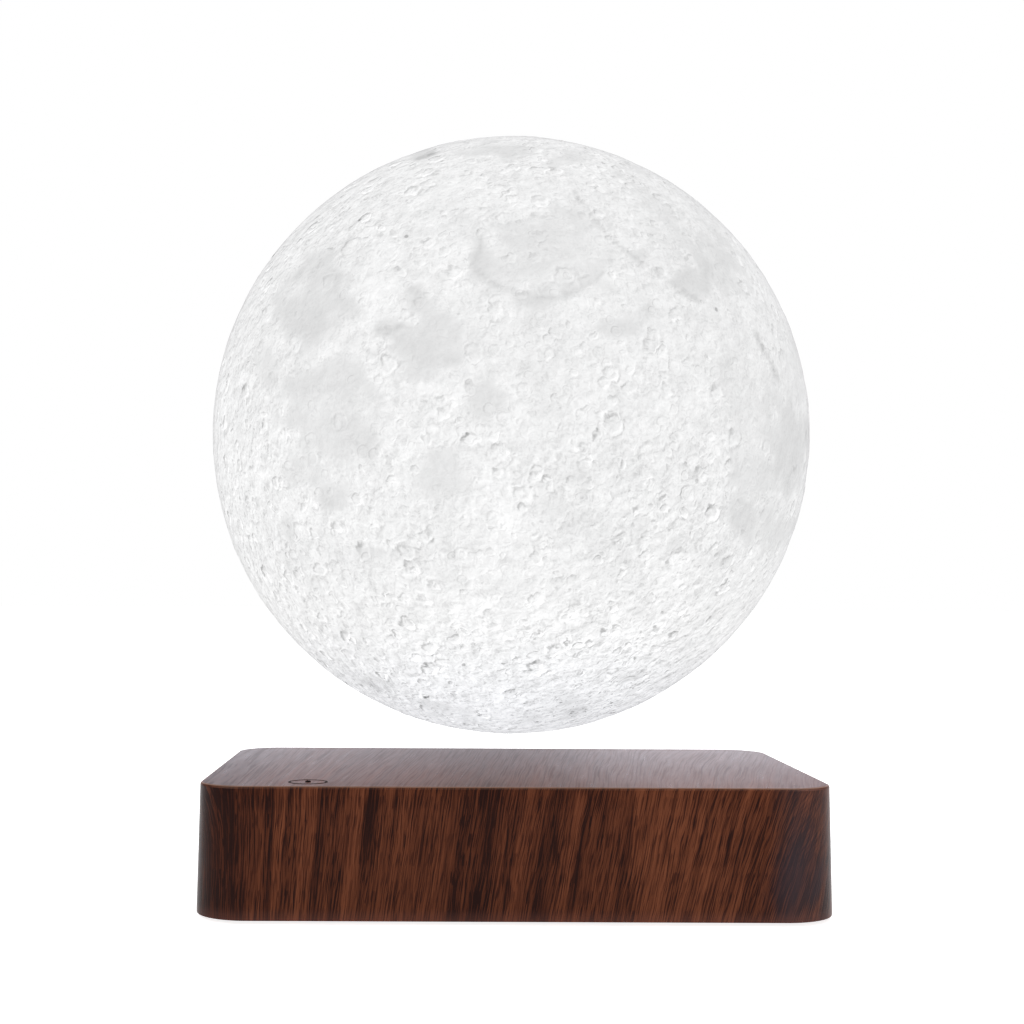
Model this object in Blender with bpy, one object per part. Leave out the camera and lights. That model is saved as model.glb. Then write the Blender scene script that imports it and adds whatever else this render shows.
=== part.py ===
"""Levitating globe lamp: a lunar globe that floats above a wood-effect base.

Frame: metres, +Z up, origin in the middle of the footprint at the undersides
of the rubber feet, front side towards -Y.  All driving dimensions below are in
millimetres and are turned into metres when a mesh is made.
"""
import bpy
import bmesh
import math
from mathutils import Matrix, Vector

MM = 0.001

# ---------------------------------------------------------------- dimensions
GAP = 0.3                    # clearance between pieces that touch or rest

# housing
BASE_TOP_W = 173.0           # width of the top face, along X
BASE_TOP_D = 116.0           # depth of the top face, along Y
BASE_TOP_R = 13.4            # corner radius seen from above, at the top
BASE_FOOT_R = 15.0           # corner radius at the lower edge
BASE_DRAFT = 0.7             # how far each side leans out towards the bottom
SHELL_LOW = 1.0              # lower edge of the housing above the table
SHELL_TOP = 36.6             # top face above the table
WALL = 3.0                   # wall and top thickness
TOP_BEVEL = 0.7              # rounding of the edge round the top face
FOOT_BEVEL = 0.4             # chamfer of the lower edge
CORNER_STEPS = 6             # facets in each vertical corner

# touch mark, front left of the top face
TOUCH_X, TOUCH_Y = -56.8, -47.0
TOUCH_R = 5.4                # outer radius of the ring
TOUCH_LINE = 0.6             # width of the ring's line
TOUCH_DOT_R = 0.8
RING_PROUD = 0.1             # how far the ring stands above the top
DOT_PROUD = 0.4              # and how far the domed dot does
TOUCH_DEPTH = 0.8            # depth of the groove

# cover plate, its screws and the feet
PLATE_LOW, PLATE_HIGH = 2.0, 4.4
BOSS_X, BOSS_Y, BOSS_R = 74.0, 45.5, 4.0
PILOT_R = 1.7
SCREW_HEAD_R, SCREW_R = 3.0, 1.3
FOOT_X, FOOT_Y, FOOT_R = 62.0, 38.0, 6.0
FOOT_POCKET = 0.8

# main board
BOARD_W, BOARD_D = 124.0, 108.0
BOARD_LOW, BOARD_THICK = 7.0, 1.6
POST_X, POST_Y, POST_R = 50.0, 46.0, 3.2
PEG_R = 1.1

# power socket in the rear wall
JACK_X, JACK_Z = 0.0, 14.4
JACK_W, JACK_H, JACK_L = 9.4, 11.0, 10.5
SOCKET_R, SOCKET_DEPTH = 3.2, 9.2
PIN_R = 1.05
REAR_HOLE_R = 4.5

# ring of magnets and the four coils inside it
TRAY_R, TRAY_BORE_R = 43.3, 19.5
TRAY_FLOOR, TRAY_TOP = 13.0, 26.0
MAGNETS = 8
MAGNET_R, MAGNET_H, MAGNET_RING = 10.0, 10.0, 31.5
COILS = 4
COIL_RING = 11.3
BOBBIN_R, BOBBIN_BARREL, BOBBIN_BORE, FLANGE = 7.8, 3.6, 2.6, 1.0
WINDING_R = 7.3

# power coil under the top face
TX_LOW = 26.4
TX_R, TX_BORE_R = 44.0, 15.0
LEAD_R = 0.75

# floating globe
LEVITATION = 9.6             # free height between the base and the globe
GLOBE_R = 90.0
GLOBE_WALL = 1.5
GLOBE_HOLE_R = 32.0
GLOBE_Z = SHELL_TOP + LEVITATION + GLOBE_R
GLOBE_SIDES = 36
FLOAT_MAGNET_R, FLOAT_MAGNET_H = 20.0, 10.0

BOARD_TOP = BOARD_LOW + BOARD_THICK
ON_BOARD = BOARD_TOP + GAP


# ------------------------------------------------------------------- helpers
def clear_scene():
    for ob in list(bpy.data.objects):
        bpy.data.objects.remove(ob, do_unlink=True)


def material(name, colour, roughness, metallic=0.0):
    mat = bpy.data.materials.new(name)
    mat.use_nodes = True
    shader = mat.node_tree.nodes["Principled BSDF"]
    shader.inputs["Base Color"].default_value = (*colour, 1.0)
    shader.inputs["Roughness"].default_value = roughness
    shader.inputs["Metallic"].default_value = metallic
    mat.diffuse_color = (*colour, 1.0)
    return mat


def finish_mesh(name, bm, smooth_angle=35.0):
    """Close, orient and scale a millimetre bmesh, and return its mesh."""
    bmesh.ops.recalc_face_normals(bm, faces=bm.faces)
    bmesh.ops.scale(bm, vec=(MM, MM, MM), verts=bm.verts)
    mesh = bpy.data.meshes.new(name)
    bm.to_mesh(mesh)
    bm.free()
    mesh.shade_smooth()
    mesh.set_sharp_from_angle(angle=math.radians(smooth_angle))
    return mesh


def place(name, mesh, mat, at=(0, 0, 0), turn=0.0, parent=None):
    ob = bpy.data.objects.new(name, mesh)
    bpy.context.scene.collection.objects.link(ob)
    if not mesh.materials:
        mesh.materials.append(mat)
    ob.location = Vector(at) * MM
    ob.rotation_euler = (0.0, 0.0, turn)
    if parent is not None:
        ob.parent = parent
        ob.matrix_parent_inverse = Matrix.Translation(-parent.location)
    return ob


def empty(name, at, parent=None):
    ob = bpy.data.objects.new(name, None)
    ob.empty_display_type = 'ARROWS'
    ob.empty_display_size = 0.02
    bpy.context.scene.collection.objects.link(ob)
    ob.location = Vector(at) * MM
    if parent is not None:
        ob.parent = parent
        ob.matrix_parent_inverse = Matrix.Translation(-parent.location)
    return ob


def skin(bm, rings, cap_first=True, cap_last=True):
    """Join rings of equal length (a one-point ring is a pole) into a skin."""
    loops = [[bm.verts.new(p) for p in ring] for ring in rings]
    for low, high in zip(loops, loops[1:]):
        n = max(len(low), len(high))
        for i in range(n):
            j = (i + 1) % n
            if len(low) == 1:
                bm.faces.new((low[0], high[j], high[i]))
            elif len(high) == 1:
                bm.faces.new((low[i], low[j], high[0]))
            else:
                bm.faces.new((low[i], low[j], high[j], high[i]))
    if cap_first and len(loops[0]) > 2:
        bm.faces.new(loops[0])
    if cap_last and len(loops[-1]) > 2:
        bm.faces.new(loops[-1])
    return loops


def circle(r, z, sides, phase=0.0):
    if r < 1e-6:
        return [(0.0, 0.0, z)]
    step = 2 * math.pi / sides
    return [(r * math.cos(phase + i * step), r * math.sin(phase + i * step), z)
            for i in range(sides)]


def turned(bm, profile, sides, closed=False):
    """Turn a profile of (radius, height) points about Z."""
    if closed:
        profile = list(profile) + [profile[0]]
        rings = [circle(r, z, sides) for r, z in profile[:-1]]
        loops = [[bm.verts.new(p) for p in ring] for ring in rings]
        loops.append(loops[0])
        for low, high in zip(loops, loops[1:]):
            for i in range(sides):
                j = (i + 1) % sides
                bm.faces.new((low[i], low[j], high[j], high[i]))
    else:
        skin(bm, [circle(r, z, sides) for r, z in profile])


def turned_mesh(name, profile, sides, closed=False, smooth_angle=35.0):
    bm = bmesh.new()
    turned(bm, profile, sides, closed)
    return finish_mesh(name, bm, smooth_angle)


def rounded_ring(half_w, half_d, r, z, steps=CORNER_STEPS):
    pts = []
    for cx, cy, start in ((1, 1, 0), (-1, 1, 90), (-1, -1, 180), (1, -1, 270)):
        for i in range(steps + 1):
            a = math.radians(start + 90.0 * i / steps)
            pts.append((cx * (half_w - r) + r * math.cos(a),
                        cy * (half_d - r) + r * math.sin(a), z))
    return pts


def box(bm, size, low, at=(0, 0), chamfer=0.0):
    """Box of size (x, y, z) standing on height low, centred on at."""
    made = bmesh.ops.create_cube(bm, size=1.0)["verts"]
    bmesh.ops.scale(bm, vec=size, verts=made)
    bmesh.ops.translate(bm, vec=(at[0], at[1], low + size[2] / 2), verts=made)
    if chamfer:
        edges = {e for v in made for e in v.link_edges}
        bmesh.ops.bevel(bm, geom=list(edges), offset=chamfer, segments=1,
                        affect='EDGES', profile=0.5)


def box_mesh(name, size, chamfer=0.0):
    bm = bmesh.new()
    box(bm, size, 0.0, chamfer=chamfer)
    return finish_mesh(name, bm)


def cutter(name, bm):
    ob = bpy.data.objects.new(name, finish_mesh(name, bm))
    bpy.context.scene.collection.objects.link(ob)
    ob.hide_render = True
    ob.display_type = 'WIRE'
    return ob


def boolean(target, tool, operation):
    mod = target.modifiers.new(operation.lower() + "_" + tool.name, 'BOOLEAN')
    mod.operation = operation
    mod.solver = 'EXACT'
    mod.object = tool


def settle(ob):
    """Turn a piece's unions and cuts into its mesh, with crisp edges."""
    cutters = [mod.object for mod in ob.modifiers]
    state = bpy.context.evaluated_depsgraph_get()
    mesh = bpy.data.meshes.new_from_object(ob.evaluated_get(state))
    mesh.name = ob.name
    ob.modifiers.clear()
    ob.data = mesh
    mesh.shade_smooth()
    mesh.set_sharp_from_angle(angle=math.radians(35.0))
    for tool in cutters:
        bpy.data.objects.remove(tool, do_unlink=True)


def cylinder(bm, r, low, high, at, sides=20, axis='Z'):
    made = bmesh.ops.create_cone(bm, cap_ends=True, segments=sides, radius1=r,
                                 radius2=r, depth=high - low)["verts"]
    if axis == 'Y':
        bmesh.ops.rotate(bm, cent=(0, 0, 0), verts=made,
                         matrix=Matrix.Rotation(math.pi / 2, 3, 'X'))
        bmesh.ops.translate(bm, verts=made,
                            vec=(at[0], (low + high) / 2, at[1]))
    else:
        bmesh.ops.translate(bm, verts=made,
                            vec=(at[0], at[1], (low + high) / 2))


def add_copy(bm, part, at):
    """Move the bmesh part to a spot and add it to bm."""
    bmesh.ops.translate(part, verts=part.verts, vec=at)
    spare = bpy.data.meshes.new("spare")
    part.to_mesh(spare)
    part.free()
    bm.from_mesh(spare)
    bpy.data.meshes.remove(spare)


def smooth_path(points, count):
    """Points on one smooth curve through the given ones."""
    pts = [Vector(p) for p in points]
    pts = [2 * pts[0] - pts[1]] + pts + [2 * pts[-1] - pts[-2]]
    out = []
    spans = len(pts) - 3
    for k in range(count):
        t = spans * k / (count - 1)
        i = min(int(t), spans - 1)
        u = t - i
        p0, p1, p2, p3 = pts[i:i + 4]
        out.append(0.5 * ((2 * p1) + (p2 - p0) * u
                          + (2 * p0 - 5 * p1 + 4 * p2 - p3) * u ** 2
                          + (3 * p1 - p0 - 3 * p2 + p3) * u ** 3))
    return out


def wire(name, points, radius, mat, at=(0, 0, 0), parent=None):
    """Round wire along a list of points, with closed ends."""
    curve = bpy.data.curves.new(name, 'CURVE')
    curve.dimensions = '3D'
    curve.bevel_depth = radius * MM
    curve.bevel_resolution = 1
    curve.use_fill_caps = True
    line = curve.splines.new('POLY')
    line.points.add(len(points) - 1)
    for p, q in zip(line.points, points):
        p.co = (q[0] * MM, q[1] * MM, q[2] * MM, 1.0)
    curve.materials.append(mat)
    ob = bpy.data.objects.new(name, curve)
    bpy.context.scene.collection.objects.link(ob)
    ob.location = Vector(at) * MM
    if parent is not None:
        ob.parent = parent
        ob.matrix_parent_inverse = Matrix.Translation(-parent.location)
    return ob


def corners(x, y):
    return [(x, y), (-x, y), (-x, -y), (x, -y)]


def sphere_z(r_out, r):
    """Height of the lower half of a sphere about the globe's centre."""
    return GLOBE_Z - math.sqrt(r_out * r_out - r * r)


# -------------------------------------------------------------------- housing
def side_at(z):
    """Half width, half depth and corner radius of the housing at a height."""
    t = (SHELL_TOP - z) / (SHELL_TOP - SHELL_LOW)
    return (BASE_TOP_W / 2 + BASE_DRAFT * t, BASE_TOP_D / 2 + BASE_DRAFT * t,
            BASE_TOP_R + (BASE_FOOT_R - BASE_TOP_R) * t)


def shell_ring(z, inset=0.0):
    w, d, r = side_at(z)
    return rounded_ring(w - inset, d - inset, r - inset, z)


def base_shell(mat):
    bm = bmesh.new()
    rings = [shell_ring(SHELL_TOP - WALL, WALL), shell_ring(SHELL_LOW, WALL),
             shell_ring(SHELL_LOW, FOOT_BEVEL)]
    w, d, r = side_at(SHELL_LOW + FOOT_BEVEL)
    rings.append(rounded_ring(w, d, r, SHELL_LOW + FOOT_BEVEL))
    for step in range(4):
        a = math.radians(30.0 * step)
        z = SHELL_TOP - TOP_BEVEL * (1 - math.sin(a))
        rings.append(shell_ring(z, TOP_BEVEL * (1 - math.cos(a))))
    skin(bm, rings)
    shell = place("base_shell", finish_mesh("base_shell", bm), mat)

    # screw bosses reach down from the ceiling, each with a blind pilot hole
    bm = bmesh.new()
    low = PLATE_HIGH + GAP
    for x, y in corners(BOSS_X, BOSS_Y):
        part = bmesh.new()
        turned(part, [(0.0, 20.0), (PILOT_R, 20.0), (PILOT_R, low),
                      (BOSS_R, low), (BOSS_R + 0.5, SHELL_TOP - WALL + 1.0),
                      (0.0, SHELL_TOP - WALL + 1.0)], 14)
        add_copy(bm, part, (x, y, 0))
    boolean(shell, cutter("cut_bosses", bm), 'UNION')

    # round hole for the power plug, grooves for the touch mark
    bm = bmesh.new()
    cylinder(bm, REAR_HOLE_R, BASE_TOP_D / 2 - WALL - 2.0,
             BASE_TOP_D / 2 + 4.0, (JACK_X, JACK_Z), 20, 'Y')
    boolean(shell, cutter("cut_rear_hole", bm), 'DIFFERENCE')

    floor = SHELL_TOP - TOUCH_DEPTH
    bm = bmesh.new()
    turned(bm, [(TOUCH_R - TOUCH_LINE - GAP, floor), (TOUCH_R + GAP, floor),
                (TOUCH_R + GAP, SHELL_TOP + 1.0),
                (TOUCH_R - TOUCH_LINE - GAP, SHELL_TOP + 1.0)], 24, closed=True)
    bmesh.ops.translate(bm, verts=bm.verts, vec=(TOUCH_X, TOUCH_Y, 0))
    boolean(shell, cutter("cut_touch_ring", bm), 'DIFFERENCE')
    bm = bmesh.new()
    cylinder(bm, TOUCH_DOT_R + GAP, floor, SHELL_TOP + 1.0,
             (TOUCH_X, TOUCH_Y), 12)
    boolean(shell, cutter("cut_touch_dot", bm), 'DIFFERENCE')
    settle(shell)


def touch_mark(mat):
    sunk = TOUCH_DEPTH - GAP
    low = SHELL_TOP - sunk
    h = sunk + RING_PROUD
    inner, mid = TOUCH_R - TOUCH_LINE, TOUCH_R - TOUCH_LINE / 2
    place("touch_mark_ring", turned_mesh("touch_mark_ring", [
        (inner, 0.0), (TOUCH_R, 0.0), (TOUCH_R, h - 0.08), (mid, h),
        (inner, h - 0.08)], 24, closed=True), mat, (TOUCH_X, TOUCH_Y, low))
    h = sunk + DOT_PROUD
    place("touch_mark_dot", turned_mesh("touch_mark_dot", [
        (0.0, 0.0), (TOUCH_DOT_R, 0.0), (TOUCH_DOT_R, h - 0.35),
        (0.7 * TOUCH_DOT_R, h - 0.1), (0.0, h)], 12), mat,
        (TOUCH_X, TOUCH_Y, low))


# ------------------------------------------------------ cover plate and feet
def bottom_plate(mat):
    w, d, r = side_at(PLATE_HIGH)
    inset = WALL + GAP
    bm = bmesh.new()
    skin(bm, [rounded_ring(w - inset, d - inset, r - inset, PLATE_LOW),
              rounded_ring(w - inset, d - inset, r - inset, PLATE_HIGH)])
    plate = place("bottom_plate", finish_mesh("bottom_plate", bm), mat)
    # two posts take screws, the other two carry on as pegs through the board
    bm = bmesh.new()
    for i, (x, y) in enumerate(corners(POST_X, POST_Y)):
        part = bmesh.new()
        profile = [(0.0, PLATE_HIGH - 0.6), (POST_R, PLATE_HIGH - 0.6),
                   (POST_R, BOARD_LOW - GAP)]
        if i % 2:
            profile += [(PEG_R, BOARD_LOW - GAP), (PEG_R, BOARD_TOP + 0.8),
                        (0.0, BOARD_TOP + 1.2)]
        else:
            profile += [(0.0, BOARD_LOW - GAP)]
        turned(part, profile, 12)
        add_copy(bm, part, (x, y, 0))
    boolean(plate, cutter("cut_posts", bm), 'UNION')
    bm = bmesh.new()
    for x, y in corners(BOSS_X, BOSS_Y):
        # counterbore and clearance hole in one turned shape
        part = bmesh.new()
        turned(part, [(0.0, PLATE_LOW - 1.0),
                      (SCREW_HEAD_R + GAP, PLATE_LOW - 1.0),
                      (SCREW_HEAD_R + GAP, PLATE_LOW + 1.3),
                      (PILOT_R, PLATE_LOW + 1.3), (PILOT_R, PLATE_HIGH + 1.0),
                      (0.0, PLATE_HIGH + 1.0)], 12)
        add_copy(bm, part, (x, y, 0))
    for x, y in corners(POST_X, POST_Y)[0::2]:
        cylinder(bm, 1.3, PLATE_LOW + 1.3, BOARD_LOW + 1.0, (x, y), 8)
    for x, y in corners(FOOT_X, FOOT_Y):
        cylinder(bm, FOOT_R + GAP, PLATE_LOW - 1.0, PLATE_LOW + FOOT_POCKET,
                 (x, y), 20)
    boolean(plate, cutter("cut_plate_holes", bm), 'DIFFERENCE')
    settle(plate)


def cover_screws(mat):
    head = 1.0
    mesh = turned_mesh("cover_screw", [
        (0.0, 0.0), (SCREW_HEAD_R - 0.3, 0.0), (SCREW_HEAD_R, 0.3),
        (SCREW_HEAD_R, head), (SCREW_R, head), (SCREW_R, 12.5), (0.0, 13.5)],
        12)
    for i, (x, y) in enumerate(corners(BOSS_X, BOSS_Y), 1):
        place("cover_screw_%d" % i, mesh, mat, (x, y, PLATE_LOW))


def rubber_feet(mat):
    top = PLATE_LOW + FOOT_POCKET - GAP
    mesh = turned_mesh("rubber_foot", [
        (0.0, 0.0), (FOOT_R - 0.4, 0.0), (FOOT_R, 0.4),
        (FOOT_R, top), (0.0, top)], 20)
    for i, (x, y) in enumerate(corners(FOOT_X, FOOT_Y), 1):
        place("rubber_foot_%d" % i, mesh, mat, (x, y, 0.0))


# ---------------------------------------------------------------- electronics
def main_board(mat):
    bm = bmesh.new()
    skin(bm, [rounded_ring(BOARD_W / 2, BOARD_D / 2, 3.0, BOARD_LOW, 3),
              rounded_ring(BOARD_W / 2, BOARD_D / 2, 3.0, BOARD_TOP, 3)])
    board = place("main_board", finish_mesh("main_board", bm), mat)
    bm = bmesh.new()
    for x, y in corners(POST_X, POST_Y):
        cylinder(bm, 1.4, BOARD_LOW - 1.0, BOARD_TOP + 1.0, (x, y), 12)
    boolean(board, cutter("cut_board_holes", bm), 'DIFFERENCE')
    settle(board)


def board_screws(mat):
    mesh = turned_mesh("board_screw", [
        (0.0, -5.2), (1.0, -4.7), (1.0, 0.0), (2.4, 0.0), (2.4, 0.9),
        (1.6, 1.5), (0.0, 1.5)], 12)
    for i, (x, y) in enumerate(corners(POST_X, POST_Y)[0::2], 1):
        place("board_screw_%d" % i, mesh, mat, (x, y, ON_BOARD))


def power_socket(body_mat, pin_mat):
    w, d, r = side_at(JACK_Z)
    face = d - WALL - GAP                      # the socket's mouth
    back = face - JACK_L
    bm = bmesh.new()
    box(bm, (JACK_W, JACK_L, JACK_H), 0.0, chamfer=0.4)
    mesh = finish_mesh("dc_jack", bm)
    jack = place("dc_jack", mesh, body_mat,
                 (JACK_X, (face + back) / 2, ON_BOARD))
    bm = bmesh.new()
    cylinder(bm, SOCKET_R, face - SOCKET_DEPTH, face + 1.0,
             (JACK_X, JACK_Z), 20, 'Y')
    boolean(jack, cutter("cut_socket", bm), 'DIFFERENCE')
    bm = bmesh.new()
    cylinder(bm, PIN_R + GAP, back - 1.0, face - 1.0, (JACK_X, JACK_Z), 12, 'Y')
    boolean(jack, cutter("cut_pin_hole", bm), 'DIFFERENCE')
    settle(jack)

    # centre contact, from behind the socket's back wall to near its mouth
    tail, tip = back - 0.6, face - 1.8
    bm = bmesh.new()
    turned(bm, [(0.0, 0.0), (PIN_R, 0.0), (PIN_R, tip - tail - 0.5),
                (PIN_R * 0.6, tip - tail), (0.0, tip - tail)], 12)
    bmesh.ops.rotate(bm, cent=(0, 0, 0), verts=bm.verts,
                     matrix=Matrix.Rotation(-math.pi / 2, 3, 'X'))
    place("dc_jack_pin", finish_mesh("dc_jack_pin", bm), pin_mat,
          (JACK_X, tail, JACK_Z))


def board_parts(mats):
    chip = mats["chip"]
    place("controller_chip", box_mesh("controller_chip", (10.0, 10.0, 1.6),
                                      0.25), chip, (52.0, 0.0, ON_BOARD))
    mesh = box_mesh("coil_driver_chip", (8.0, 6.0, 1.8), 0.25)
    place("coil_driver_chip_1", mesh, chip, (-52.0, -14.0, ON_BOARD))
    place("coil_driver_chip_2", mesh, chip, (-52.0, 2.0, ON_BOARD))
    mesh = turned_mesh("filter_capacitor", [
        (0.0, 0.0), (3.6, 0.0), (4.0, 0.4), (4.0, 1.6), (3.7, 2.0), (4.0, 2.4),
        (4.0, 11.6), (3.6, 12.0), (0.0, 12.0)], 16)
    place("filter_capacitor_1", mesh, mats["capacitor"], (38.0, 38.0, ON_BOARD))
    place("filter_capacitor_2", mesh, mats["capacitor"], (28.0, 46.0, ON_BOARD))
    place("power_inductor", box_mesh("power_inductor", (12.0, 12.0, 7.0), 0.8),
          mats["ferrite"], (-33.0, 44.0, ON_BOARD))


def magnet_ring(tray_mat, magnet_mat):
    pocket_floor = TRAY_TOP - MAGNET_H - 1.0
    tray = place("magnet_tray", turned_mesh("magnet_tray", [
        (TRAY_BORE_R, TRAY_FLOOR), (TRAY_R - 1.5, TRAY_FLOOR),
        (TRAY_R - 1.5, ON_BOARD), (TRAY_R, ON_BOARD), (TRAY_R, TRAY_TOP),
        (TRAY_BORE_R, TRAY_TOP)], 36, closed=True), tray_mat)
    bm = bmesh.new()
    spots = []
    for i in range(MAGNETS):
        a = 2 * math.pi * i / MAGNETS
        spots.append((MAGNET_RING * math.cos(a), MAGNET_RING * math.sin(a)))
        cylinder(bm, MAGNET_R + GAP, pocket_floor, TRAY_TOP + 1.0, spots[-1], 20)
    boolean(tray, cutter("cut_magnet_pockets", bm), 'DIFFERENCE')
    settle(tray)
    mesh = turned_mesh("base_magnet", [
        (0.0, 0.0), (MAGNET_R, 0.0), (MAGNET_R, MAGNET_H - 0.4),
        (MAGNET_R - 0.4, MAGNET_H), (0.0, MAGNET_H)], 20)
    for i, (x, y) in enumerate(spots, 1):
        place("base_magnet_%d" % i, mesh, magnet_mat,
              (x, y, pocket_floor + GAP))


def coils(bobbin_mat, copper):
    top = TRAY_TOP - ON_BOARD
    bobbin = turned_mesh("coil_bobbin", [
        (BOBBIN_BORE, 0.0), (BOBBIN_R, 0.0), (BOBBIN_R, FLANGE),
        (BOBBIN_BARREL, FLANGE), (BOBBIN_BARREL, top - FLANGE),
        (BOBBIN_R, top - FLANGE), (BOBBIN_R, top), (BOBBIN_BORE, top)],
        16, closed=True)
    low, high = FLANGE + GAP, top - FLANGE - GAP
    winding = turned_mesh("coil_winding", [
        (BOBBIN_BARREL + GAP, low), (WINDING_R, low), (WINDING_R, high),
        (BOBBIN_BARREL + GAP, high)], 16, closed=True)
    for i in range(COILS):
        a = math.pi / 4 + 2 * math.pi * i / COILS
        at = (COIL_RING * math.cos(a), COIL_RING * math.sin(a), ON_BOARD)
        place("coil_bobbin_%d" % (i + 1), bobbin, bobbin_mat, at)
        place("coil_winding_%d" % (i + 1), winding, copper, at)


def sensors(board_mat, sensor_mat):
    low = TRAY_TOP + 0.4
    place("sensor_board", turned_mesh("sensor_board", [
        (0.0, 0.0), (12.0, 0.0), (12.0, 1.0), (0.0, 1.0)], 28), board_mat,
        (0, 0, low))
    on = low + 1.0 + GAP
    upright = box_mesh("hall_sensor", (4.1, 1.6, 3.2), 0.3)
    flat = box_mesh("hall_sensor_flat", (4.1, 3.2, 1.6), 0.3)
    place("hall_sensor_x", upright, sensor_mat, (0.0, -5.5, on))
    place("hall_sensor_y", upright, sensor_mat, (-5.5, 0.0, on), math.pi / 2)
    place("hall_sensor_z", flat, sensor_mat, (0.5, 0.8, on))


def transmitter(tray_mat, ferrite_mat, copper):
    ceiling = SHELL_TOP - WALL - GAP
    floor = TX_LOW + 1.5
    place("transmitter_tray", turned_mesh("transmitter_tray", [
        (TX_BORE_R, TX_LOW), (TX_R, TX_LOW), (TX_R, ceiling),
        (TX_R - 1.5, ceiling), (TX_R - 1.5, floor), (TX_BORE_R + 1.5, floor),
        (TX_BORE_R + 1.5, ceiling - 2.0), (TX_BORE_R, ceiling - 2.0)],
        32, closed=True), tray_mat)
    place("ferrite_sheet", turned_mesh("ferrite_sheet", [
        (20.0, 0.0), (TX_R - 2.0, 0.0), (TX_R - 2.0, 0.6), (20.0, 0.6)],
        32, closed=True), ferrite_mat, (0, 0, floor + GAP))
    low = floor + GAP + 0.6 + GAP
    place("transmitter_coil", turned_mesh("transmitter_coil", [
        (24.0, 0.0), (TX_R - 2.5, 0.0), (TX_R - 2.5, 1.7),
        (TX_R - 3.0, 2.2), (24.5, 2.2), (24.0, 1.7)], 32, closed=True), copper, (0, 0, low))


def touch_spring(mat):
    """Coil spring between the board and the ceiling under the touch mark."""
    thick, r, turns, per_turn = 0.35, 2.2, 6, 9
    low = ON_BOARD + thick
    high = SHELL_TOP - WALL - GAP - thick
    n = turns * per_turn
    points = []
    for i in range(n + 1):
        t = i / n
        a = 2 * math.pi * turns * t
        # the first and the last turn lie almost flat
        s = min(max((t * turns - 0.7) / (turns - 1.4), 0.0), 1.0)
        points.append((r * math.cos(a), r * math.sin(a),
                       low + (high - low) * (0.06 * t + 0.94 * s)))
    wire("touch_spring", points, thick, mat, (TOUCH_X, TOUCH_Y, 0.0))


def transmitter_lead(mat):
    """Lead of the power coil: over the tray's inner rim, down its bore."""
    r = LEAD_R
    coil = TX_LOW + 3.8
    over = SHELL_TOP - WALL - GAP - 2.0 + GAP + r
    drop = TX_BORE_R - 1.4
    wire("transmitter_lead", smooth_path([
        (23.0, 0.0, coil), (20.8, 0.0, coil + 0.4), (18.4, 0.0, over - 0.7),
        (TX_BORE_R + 0.6, 0.0, over), (drop + 0.25, 0.0, over - 0.9),
        (drop, 0.0, over - 3.4), (drop, 0.0, 24.0), (drop, 0.0, 16.0),
        (drop, 0.0, ON_BOARD + 0.2)], 25), r, mat)


# ---------------------------------------------------------------------- globe
def moon_globe(mat, parent):
    """Hollow sphere with a round opening in its underside."""
    def arc(r, upper, lower):
        """Pole to equator in some steps, then on to the opening's rim."""
        half = math.pi / 2
        rim = half - math.asin(GLOBE_HOLE_R / r)
        angles = [half * i / upper for i in range(upper)]
        angles += [half + rim * i / lower for i in range(lower + 1)]
        return [(r * math.sin(a), r * math.cos(a)) for a in angles]

    outer = arc(GLOBE_R, 9, 7)
    inner = arc(GLOBE_R - GLOBE_WALL, 5, 4)
    mesh = turned_mesh("moon_globe", outer + inner[::-1], GLOBE_SIDES)
    return place("moon_globe", mesh, mat, (0, 0, GLOBE_Z), parent=parent)


def globe_cap(mat, parent):
    """Plug in the globe's opening, with a pocket for the floating magnet."""
    r = GLOBE_HOLE_R - GAP
    r_in = GLOBE_R - GLOBE_WALL
    floor = GLOBE_Z - GLOBE_R + 4.0
    pocket = FLOAT_MAGNET_R + GAP
    a_edge = math.asin(r / GLOBE_R)
    steps = 6
    outside = [(GLOBE_R * math.sin(a_edge * i / steps),
                GLOBE_Z - GLOBE_R * math.cos(a_edge * i / steps))
               for i in range(steps + 1)]
    rim = floor + 6.8
    profile = outside + [
        (r, rim), (r - 1.5, rim), (r - 1.5, sphere_z(r_in, r - 1.5) + 0.2),
        (pocket + 1.5, sphere_z(r_in, pocket + 1.5) + 0.2),
        (pocket + 1.5, floor + 7.8), (pocket, floor + 7.8), (pocket, floor),
        (0.0, floor)]
    profile = [(x, z - floor) for x, z in profile]
    return place("globe_cap", turned_mesh("globe_cap", profile, 36), mat,
                 (0, 0, floor), parent=parent), floor


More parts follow.
